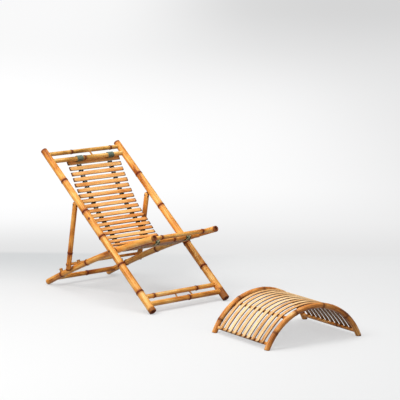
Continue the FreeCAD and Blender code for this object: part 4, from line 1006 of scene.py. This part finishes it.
def knot_shape():
    """Closed loop of a small overhand knot, as a trefoil tube, drawn out along its gap."""
    centres, points, faces = [], [], []
    for index in range(KNOT_STEPS):
        angle = math.tau * index / KNOT_STEPS
        trefoil = Vector((math.sin(angle) + 2 * math.sin(2 * angle),
                          math.cos(angle) - 2 * math.cos(2 * angle), -1.4 * math.sin(3 * angle)))
        centres.append(trefoil * KNOT_DRAWN)
    for index, centre in enumerate(centres):
        tangent = (centres[(index + 1) % KNOT_STEPS] - centres[index - 1]).normalized()
        first = tangent.cross(Vector((0, 0, 1))).normalized()
        second = tangent.cross(first)
        for corner in range(KNOT_SIDES):
            angle = math.tau * corner / KNOT_SIDES
            points.append(centre + (first * math.cos(angle) + second * math.sin(angle)) * KNOT_CORD_RADIUS)
        faces.extend(bridge(index * KNOT_SIDES, (index + 1) % KNOT_STEPS * KNOT_SIDES, KNOT_SIDES))
    return new_piece("knot_shape", points, faces)


def knot_tree():
    layout = Layout("tie_knots", {"Knot": OBJECT, "Seed": WHOLE})
    shape = layout.add("GeometryNodeObjectInfo", {}, {"Object": layout.given("Knot")}, "Geometry")
    spin = layout.chance((-0.3, -0.4, -0.25), (0.3, 0.4, 0.25))
    return layout.end(layout.on_points(shape, Rotation=spin, Scale=layout.chance(0.92, 1.08)))


CORD_TREE = cord_tree()
KNOT_TREE = knot_tree()
knot = knot_shape()
print("a knot has", len(knot.data.polygons), "faces")

# %% Lines of the cords
COLUMN_HALF_SPREAD = 0.1185
CORD_HALF_GAP = 0.012
CORD_RADIUS = 0.002
LINK_LIFT = 0.0021
LASHING_CLEARANCE = 0.0003
LASHING_RADIUS = 0.0019
cord_offsets = [column * COLUMN_HALF_SPREAD + cord * CORD_HALF_GAP for column in (-1, 1) for cord in (-1, 1)]


def rail_tip(end, axis, radius):
    """Where a cord that comes from a knot meets the lashing on its rail."""
    spoke = Vector((end.x - axis.x, 0, end.z - axis.z)).normalized()
    return Vector((axis.x, end.y, axis.z)) + spoke * (radius + LASHING_CLEARANCE + 2 * LASHING_RADIUS)


def cord_lines(first, last, upper=None, lower=None):
    """Points and edges of four cords, led to the rail that an end hangs from."""
    points, edges, knots = [], [], []
    for offset in cord_offsets:
        chain = [knot_places[index] + across * offset for index in range(first, last + 1)]
        knots.extend(chain if upper else chain[1:])
        if upper:
            chain.insert(0, rail_tip(chain[0], *upper))
        if lower:
            chain.append(rail_tip(chain[-1], *lower))
        start = len(points)
        points.extend(chain)
        edges.extend((start + index, start + index + 1) for index in range(len(chain) - 1))
    for spot in knot_places[first + (0 if upper else 1):last + 1]:
        for pair in (cord_offsets[:2], cord_offsets[2:]):
            for lift in (-LINK_LIFT, LINK_LIFT):
                edges.append((len(points), len(points) + 1))
                points.extend(spot + across * offset + Vector((0, 0, lift)) for offset in pair)
    return points, edges, knots


print("cords at", [round(offset, 4) for offset in cord_offsets], "m from the mat's middle")

# %% Run the cords and tie the knots
def join(name, pieces):
    """Join meshes of one finish into a single piece."""
    work = bmesh.new()
    for piece in pieces:
        work.from_mesh(piece.data)
    mesh = bpy.data.meshes.new(name)
    work.to_mesh(mesh)
    work.free()
    mesh.materials.append(pieces[0].data.materials[0])
    for piece in pieces:
        bpy.data.objects.remove(piece)
    mesh.shade_smooth()
    return stand(name, mesh)


cord_pieces = {}
HANGERS = {"back": {"upper": (mat_rail_axis, MAT_RAIL_RADIUS)}, "bend": {},
           "seat": {"lower": (mat_crossrail_axis, MAT_CROSSRAIL_RADIUS)}}
for number, (name, first, last) in enumerate(STRETCHES):
    points, edges, knots = cord_lines(first, last, **HANGERS[name])
    cords = lay(name + "_cord_run", CORD_TREE, points, {"Cord radius": CORD_RADIUS, "Finish": CORD}, edges)
    ties = lay(name + "_knots", KNOT_TREE, knots, {"Knot": knot, "Seed": 3 + number, "Finish": CORD})
    cord_pieces[name] = join(name + "_cords", [cords, ties])
bpy.data.objects.remove(knot)

# %% [markdown]
# Which body carries what: the upper part of the mat stays with the main frame, the front part lies
# with the seat frame, and the stretch between them rides on neither: its place is baked into its mesh.

# %% Let the mat ride
for kind, slot, pieces in (("slats", "split_bamboo", slat_pieces), ("mat_cords", "mat_cord", cord_pieces)):
    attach(pieces["back"], "main_frame")
    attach(pieces["seat"], "seat_frame")
    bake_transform(pieces["bend"])
    for name, piece in pieces.items():
        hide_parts("%s_%s" % (name, kind))

# %% [markdown]
# The lashings are cord wound in close turns round the rail. A spiral curve makes the turns, and a
# round section swept along it makes the cord. Its two ends stop close on the rail, so nothing stands
# out from it. The lower lashings use a darker copy of the same cord, which is painted shade.

# %% Wind the lashings
LASHING_TURN_GAP = 0.0005
LASHING_PITCH = 2 * LASHING_RADIUS + LASHING_TURN_GAP
LASHING_DRAWN_RADIUS = 0.0021
LASHINGS = (
    ("upper", mat_rail_axis, MAT_RAIL_RADIUS, 10, MAT_BACK_OFFSET, "main_frame", LASHING),
    ("lower", mat_crossrail_axis, MAT_CROSSRAIL_RADIUS, 7, MAT_SEAT_OFFSET, "seat_frame", SHADED_LASHING),
)


def lashing_tree():
    layout = Layout("wind_lashing", dict.fromkeys(("Turns", "Coil radius", "Width", "Cord radius"), FLOAT))
    radius, width = layout.given("Coil radius"), layout.given("Width")
    spiral = layout.add("GeometryNodeCurveSpiral", {}, {
        "Resolution": 28, "Rotations": layout.given("Turns"), "Start Radius": radius, "End Radius": radius,
        "Height": width})
    coil = layout.add("GeometryNodeTransform", {}, {
        "Geometry": layout.round_cord(spiral), "Translation": layout.vector(Z=width * -0.5)})
    coil = layout.add("GeometryNodeTransform", {}, {"Geometry": coil, "Rotation": (-math.pi / 2, 0.0, 0.0)})
    return layout.end(layout.on_points(coil))


LASHING_TREE = lashing_tree()
for side_name, side in SIDES:
    for level, axis, rail_radius, turns, offset, body, finish in LASHINGS:
        spot = axis + across * (offset + side * COLUMN_HALF_SPREAD)
        lashing = lay("%s_lashing_%s_wound" % (level, side_name), LASHING_TREE, [spot], {
            "Turns": float(turns), "Coil radius": rail_radius + LASHING_CLEARANCE + LASHING_RADIUS,
            "Width": LASHING_PITCH * turns, "Cord radius": LASHING_DRAWN_RADIUS, "Finish": finish})
        carry(lashing, body, ["%s_lashing_%s" % (level, side_name)])

# %% [markdown]
# The lower lashings are finished with a few paler turns that cross over the wound ones. Their pale
# cord is a painted glint on the lower lashing. Each turn is a closed ring round the rail that leans one
# way or the other, so a formula gives its points.

# %% Crossing turns over the lower lashings
CROSSING_CORD_RADIUS = 0.0016
CROSSING_RADIUS = MAT_CROSSRAIL_RADIUS + LASHING_CLEARANCE + 2 * LASHING_DRAWN_RADIUS + CROSSING_CORD_RADIUS
CROSSING_REACH = 0.019
CROSSING_STRAND = 0.002
CROSSING_STEPS = 24


def crossing_turns(side):
    points, edges = [], []
    for lean, strand in ((-1, -1), (-1, 1), (1, -1), (1, 1)):
        start = len(points)
        for step in range(CROSSING_STEPS):
            angle = math.tau * step / CROSSING_STEPS
            slide = MAT_SEAT_OFFSET + side * COLUMN_HALF_SPREAD + strand * CROSSING_STRAND
            slide += lean * CROSSING_REACH * math.sin(angle)
            points.append(mat_crossrail_axis + across * slide + side_view(angle) * CROSSING_RADIUS)
            edges.append((start + step, start + (step + 1) % CROSSING_STEPS))
    return points, edges


for side_name, side in SIDES:
    points, edges = crossing_turns(side)
    crossing = lay("lower_lashing_%s_crossing" % side_name, CORD_TREE, points,
                   {"Cord radius": CROSSING_CORD_RADIUS, "Finish": PALE_GLINT_LASHING}, edges)
    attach(crossing, "seat_frame")

# %% [markdown]
# The footstool stands on its own, turned a little. Two caramel poles bend into arches, four thin
# rails join them, and ten pale split strips lie over the rails. The arches are grown along an arc.

# %% Lines of the footstool
STOOL_PLACE = Vector((0.8225, -0.0287, 0.0))
STOOL_ANGLE = math.radians(-6.93)
STOOL_TURN = Matrix.Rotation(STOOL_ANGLE, 3, "Z")
ARCH_GAUGE = 0.477
ARCH_BEND = 0.340
ARCH_RISE = 0.203
ARCH_RADIUS = 0.0155
ARCH_FOOT_SPARE = 0.0065
STOOL_RAIL_RADIUS = 0.009
STOOL_RAIL_ENTRY = 0.005
STOOL_RAIL_DROP = 0.0035
STOOL_RAIL_BEND = ARCH_BEND - STOOL_RAIL_DROP
OUTER_RAIL = math.radians(60.6)
INNER_RAIL = math.radians(30.5)
STOOL_RAILS = (("outer_right", -OUTER_RAIL, 0.1), ("inner_right", -INNER_RAIL, -0.8),
               ("inner_left", INNER_RAIL, -0.8), ("outer_left", OUTER_RAIL, 0.1))
arch_half = math.acos((ARCH_BEND - ARCH_RISE) / ARCH_BEND) + ARCH_FOOT_SPARE
stool_across = STOOL_TURN @ forward


def on_arch(angle, radius, place_across=0.0):
    """Point of the footstool at an angle from the top of its arc."""
    local = Vector((place_across, math.sin(angle) * radius, math.cos(angle) * radius + ARCH_RISE - ARCH_BEND))
    return STOOL_PLACE + STOOL_TURN @ local


def arch_way(angle):
    return STOOL_TURN @ Vector((0, math.cos(angle), -math.sin(angle)))


def arch_line(place_across):
    def line(place):
        angle = place / ARCH_BEND - arch_half
        return on_arch(angle, ARCH_BEND, place_across), arch_way(angle)
    return line


arch_length = 2 * ARCH_BEND * arch_half
print("arch length", round(arch_length, 3))

# %% Grow the arches and the rails
ARCH_RINGS = {"rear": (0.10, 0.31, 0.52, 0.71, 0.90), "front": (0.13, 0.34, 0.57, 0.80)}
for number, (name, side) in enumerate((("rear", -1), ("front", 1))):
    rings = [share * arch_length for share in ARCH_RINGS[name]]
    arch = grow("arch_%s_culm" % name, arch_line(side * ARCH_GAUGE / 2), stool_across, arch_length,
                (ARCH_RADIUS, ARCH_RADIUS - SLIGHT_TAPER), rings, seed=81 + number, bore=0.0095,
                open_start=True, open_end=True, sides=26, ring_size=0.5, on_floor=True)
    carry(arch, "footstool", ["stool_arch_" + name], CARAMEL)

span = ARCH_GAUGE + 2 * STOOL_RAIL_ENTRY
for number, (name, angle, tone) in enumerate(STOOL_RAILS):
    start = on_arch(angle, STOOL_RAIL_BEND, -span / 2)
    rail = grow("stool_rail_%s_culm" % name, straight(start, stool_across), arch_way(angle), span,
                (STOOL_RAIL_RADIUS, STOOL_RAIL_RADIUS), [span * (0.3 + 0.12 * number)], seed=91 + number,
                tone=tone, sides=18, ring_size=0.4)
    carry(rail, "footstool", ["stool_rail_" + name], CARAMEL)
print("footstool frame grown")

# %% [markdown]
# A strip is the same split as a slat, only longer and bent over the rails. One strip is bent along the
# arc with its points set one by one, because it runs straighter between two rails, and a tree sets ten
# copies side by side, each with its own colour.

# %% Shape of one strip
STRIP_COUNT = 10
STRIP_WIDTH = 0.0275
STRIP_PITCH = 0.0414
STRIP_STEPS = 56
STRIP_SIDE_DIP = 0.005
STRIP_CROWN_DIP = 0.004
STRIP_CLEARANCE = 0.0003
STRIP_END_REACH = 0.0095
# How much painted shade a strip's underside gets through the rim mark.
STRIP_UNDERSIDE_SHADE = 0.86
STRIP_EDGE = ((1.0, 0.0006), (1.0, 0.0030), (0.92, 0.0045), (0.7, 0.0060), (0.35, 0.0068))
STRIP_OUTLINE = (
    *((-share, height) for share, height in STRIP_EDGE), (0.0, 0.007),
    *((share, height) for share, height in reversed(STRIP_EDGE)), (0.93, 0.0), (0.0, 0.0), (-0.93, 0.0),
)
strip_inner = STOOL_RAIL_BEND + STOOL_RAIL_RADIUS + STRIP_CLEARANCE
strip_half = OUTER_RAIL + STRIP_END_REACH / ARCH_BEND


def strip_dip(angle):
    """How far a strip lies inside its arc, because it runs straighter between two rails."""
    if abs(angle) <= INNER_RAIL:
        return STRIP_CROWN_DIP * math.cos(math.pi / 2 * angle / INNER_RAIL)
    share = min((abs(angle) - INNER_RAIL) / (OUTER_RAIL - INNER_RAIL), 1.0)
    return STRIP_SIDE_DIP * math.sin(math.pi * share)


def strip_shape():
    """One strip on the footstool's middle line, bent to its arc, flat below and crowned above."""
    points, faces, grain, rim = [], [], [], []
    count = len(STRIP_OUTLINE)
    for step in range(STRIP_STEPS + 1):
        angle = -strip_half + 2 * strip_half * step / STRIP_STEPS
        end = max(0.0, 1 - (1 - abs(2 * step / STRIP_STEPS - 1)) * 40)
        for share, height in STRIP_OUTLINE:
            place, radius = share * STRIP_WIDTH / 2, strip_inner + height - strip_dip(angle)
            points.append((place, math.sin(angle) * radius, math.cos(angle) * radius + ARCH_RISE - ARCH_BEND))
            grain.append((place, height, angle * radius))
            # The rim mark darkens the ends and lays painted shade on the side edges and over the underside.
            rim.append(max(abs(share), end, STRIP_UNDERSIDE_SHADE if height < EDGE else 0.0))
        if step < STRIP_STEPS:
            faces.extend(bridge(step * count, (step + 1) * count, count))
    faces.append(tuple(range(count)))
    faces.append(tuple(reversed(range(STRIP_STEPS * count, STRIP_STEPS * count + count))))
    strip = new_piece("strip_shape", points, faces, marks={"rim": rim, "grain": grain})
    face_outwards(strip.data)
    return strip


strip = strip_shape()
print("a strip has", len(strip.data.polygons), "faces")

# %% Tree that lays the strips
def strip_tree():
    layout = Layout("lay_strips", {"Strip": OBJECT, "Seed": WHOLE, "Turn": FLOAT})
    shape = layout.add("GeometryNodeObjectInfo", {}, {"Object": layout.given("Strip")}, "Geometry")
    strips = layout.on_points(shape, Rotation=layout.vector(Z=layout.given("Turn")))
    return layout.end(layout.store(strips, "tone", layout.chance(0.0, 1.0), domain="INSTANCE"))


strip_points = [STOOL_PLACE + stool_across * ((number - (STRIP_COUNT - 1) / 2) * STRIP_PITCH)
                for number in range(STRIP_COUNT)]
strips = lay("stool_strips_laid", strip_tree(), strip_points, {
    "Strip": strip, "Seed": 8, "Turn": STOOL_ANGLE, "Finish": STRIP})
bpy.data.objects.remove(strip)
carry(strips, "footstool", ["stool_strip_%02d" % number for number in range(1, STRIP_COUNT + 1)])

# %% [markdown]
# Small nails hold each strip to the rails. Their solids are right, so they only get dull metal.

# %% Nails
def nail_finish():
    metal = Finish("nail_metal", metallic=0.9)
    wear = metal.noise(metal.place(), (900.0, 900.0, 900.0))
    return metal.finish(metal.mix(wear, shade((96, 84, 72)), shade((150, 140, 128))), 0.35 + wear * 0.3)


refinish(["stool_nails"], nail_finish())
print("nails finished")

# %% [markdown]
# The studio is one pale floor. Past a line behind the object its material turns into a softly glowing
# backdrop, which only what looks straight at it sees: light that bounces off the floor meets a darker
# grey instead, so that the undersides of the poles stay as deep as they are over a real floor. The glow
# is not even and carries painted light and shade: the backdrop is brighter on the left and darker on the
# right and far back, with a painted pool of light and a band of painted shade just behind the line, and
# the front of the floor glows less on the left.

# %% Floor and backdrop
FLOOR_REACH = 40.0
FLOOR_WAY = (-math.sin(CAMERA_AZIMUTH), math.cos(CAMERA_AZIMUTH), 0.0)
SIDE_WAY = (math.cos(CAMERA_AZIMUTH), math.sin(CAMERA_AZIMUTH), 0.0)
BACKDROP_LINE = 1.53
FLOOR_COLOUR = (0.37, 0.37, 0.37)
FLOOR_BACK_COLOUR = (0.38, 0.38, 0.38)
# The front of the floor glows less on its left: painted shade.
FLOOR_GLOW, FLOOR_LEFT_SHADED_GLOW = (0.465, 0.47, 0.475), (0.30, 0.315, 0.325)
BOUNCE_COLOUR = (0.28, 0.28, 0.29)
BLACK = (0.0, 0.0, 0.0)
# Backdrop glow at the left and at the right: painted light falloff across the wall.
BACKDROP_LIT_LEFT, BACKDROP_SHADED_RIGHT = 0.94, 0.80


def studio_paint():
    paint = Finish("studio_paint", specular=0.1)
    place, step, mix = paint.place(), paint.step, paint.mix
    depth = paint.vector_maths("DOT_PRODUCT", place, FLOOR_WAY, "Value")
    aside = paint.vector_maths("DOT_PRODUCT", place, SIDE_WAY, "Value")
    path = paint.add("ShaderNodeLightPath", {}, {}, "Is Camera Ray")
    seen = step(path + path.output("Is Glossy Ray") + path.output("Is Transmission Ray"), 0.0, 1.0)
    behind = step(depth, BACKDROP_LINE - 0.02, BACKDROP_LINE + 0.10)
    # Painted light falloff: brighter on the left, darker on the right.
    level = step(aside, -2.6, 2.6, BACKDROP_LIT_LEFT, BACKDROP_SHADED_RIGHT)
    # A painted pool of light over the left and middle, some way back.
    level = level + step(depth, 1.6, 4.5) * step(depth, 16.0, 6.0) * step(aside, 2.6, 0.4) * 0.12
    # Painted shade in a band just behind the floor line, deepest on the left.
    level = level - step(depth, 2.9, 1.5) * step(aside, 0.6, -1.2, 0.05, 0.15)
    # Painted shade far back on the right.
    level = level - step(depth, 9.0, 22.0) * step(aside, -1.5, 1.0) * 0.14
    wall = paint.add("ShaderNodeCombineXYZ", {}, {"X": level, "Y": level, "Z": level * 1.003})
    back = step(depth, 0.45, 1.45)
    # Painted shade: the front of the floor glows less on the left.
    glow = mix(back, FLOOR_GLOW, mix(step(aside, 0.3, -1.0), FLOOR_GLOW, FLOOR_LEFT_SHADED_GLOW))
    paint.put(paint.shader["Emission Color"], mix(seen, BLACK, mix(behind, glow, wall)))
    paint.put(paint.shader["Emission Strength"], 1.0)
    colour = mix(behind, mix(back, FLOOR_COLOUR, FLOOR_BACK_COLOUR), BLACK)
    return paint.finish(mix(seen, BOUNCE_COLOUR, colour), 0.9)


corners = [(x * FLOOR_REACH, y * FLOOR_REACH, 0) for x, y in ((-1, -1), (1, -1), (1, 1), (-1, 1))]
floor = new_piece("studio_floor", corners, [(0, 1, 2, 3)])
floor.data.materials.append(studio_paint())
floor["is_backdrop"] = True
print("floor reaches", FLOOR_REACH, "m each way")

# %% [markdown]
# Three wide lamps stand for studio boxes: one overhead, one towards the camera's side and a weak one
# from the other side. A pale world fills the rest, so that no shadow goes black.

# %% Lamps and world
WORLD_STRENGTH = 0.28


def soft_lamp(name, place, target, size, power, colour=(1.0, 1.0, 1.0)):
    lamp = stand(name, bpy.data.lights.new(name, "AREA"))
    lamp.data.shape = "SQUARE"
    lamp.data.size = size
    lamp.data.energy = power
    lamp.data.color = colour
    lamp.location = place
    lamp.rotation_euler = (Vector(target) - Vector(place)).to_track_quat("-Z", "Y").to_euler()


soft_lamp("top_light", (0.0, -0.4, 4.2), (0.1, 0, 0.2), 3.6, 115.0)
soft_lamp("key_light", (0.1, -4.2, 3.6), (-0.1, 0, 0.3), 2.0, 175.0, (1.0, 0.985, 0.96))
soft_lamp("fill_light", (5.0, 1.5, 2.4), (0, 0, 0.3), 3.0, 30.0)

world = bpy.data.worlds.new("studio_world")
world.use_nodes = True
background = world.node_tree.nodes["Background"]
background.inputs["Color"].default_value = (1.0, 1.0, 1.0, 1.0)
background.inputs["Strength"].default_value = WORLD_STRENGTH
bpy.context.scene.world = world
bpy.context.scene.view_settings.view_transform = "Standard"

# %% [markdown]
# Last, the two boxes are printed side by side: the solid model's, and the dressed model's.

# %% Measure and finish
final_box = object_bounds()
boxes = {"cad": [list(corner) for corner in cad_box], "visual": [list(corner) for corner in final_box]}
for label, box in boxes.items():
    print(label, [[round(value, 4) for value in corner] for corner in box])
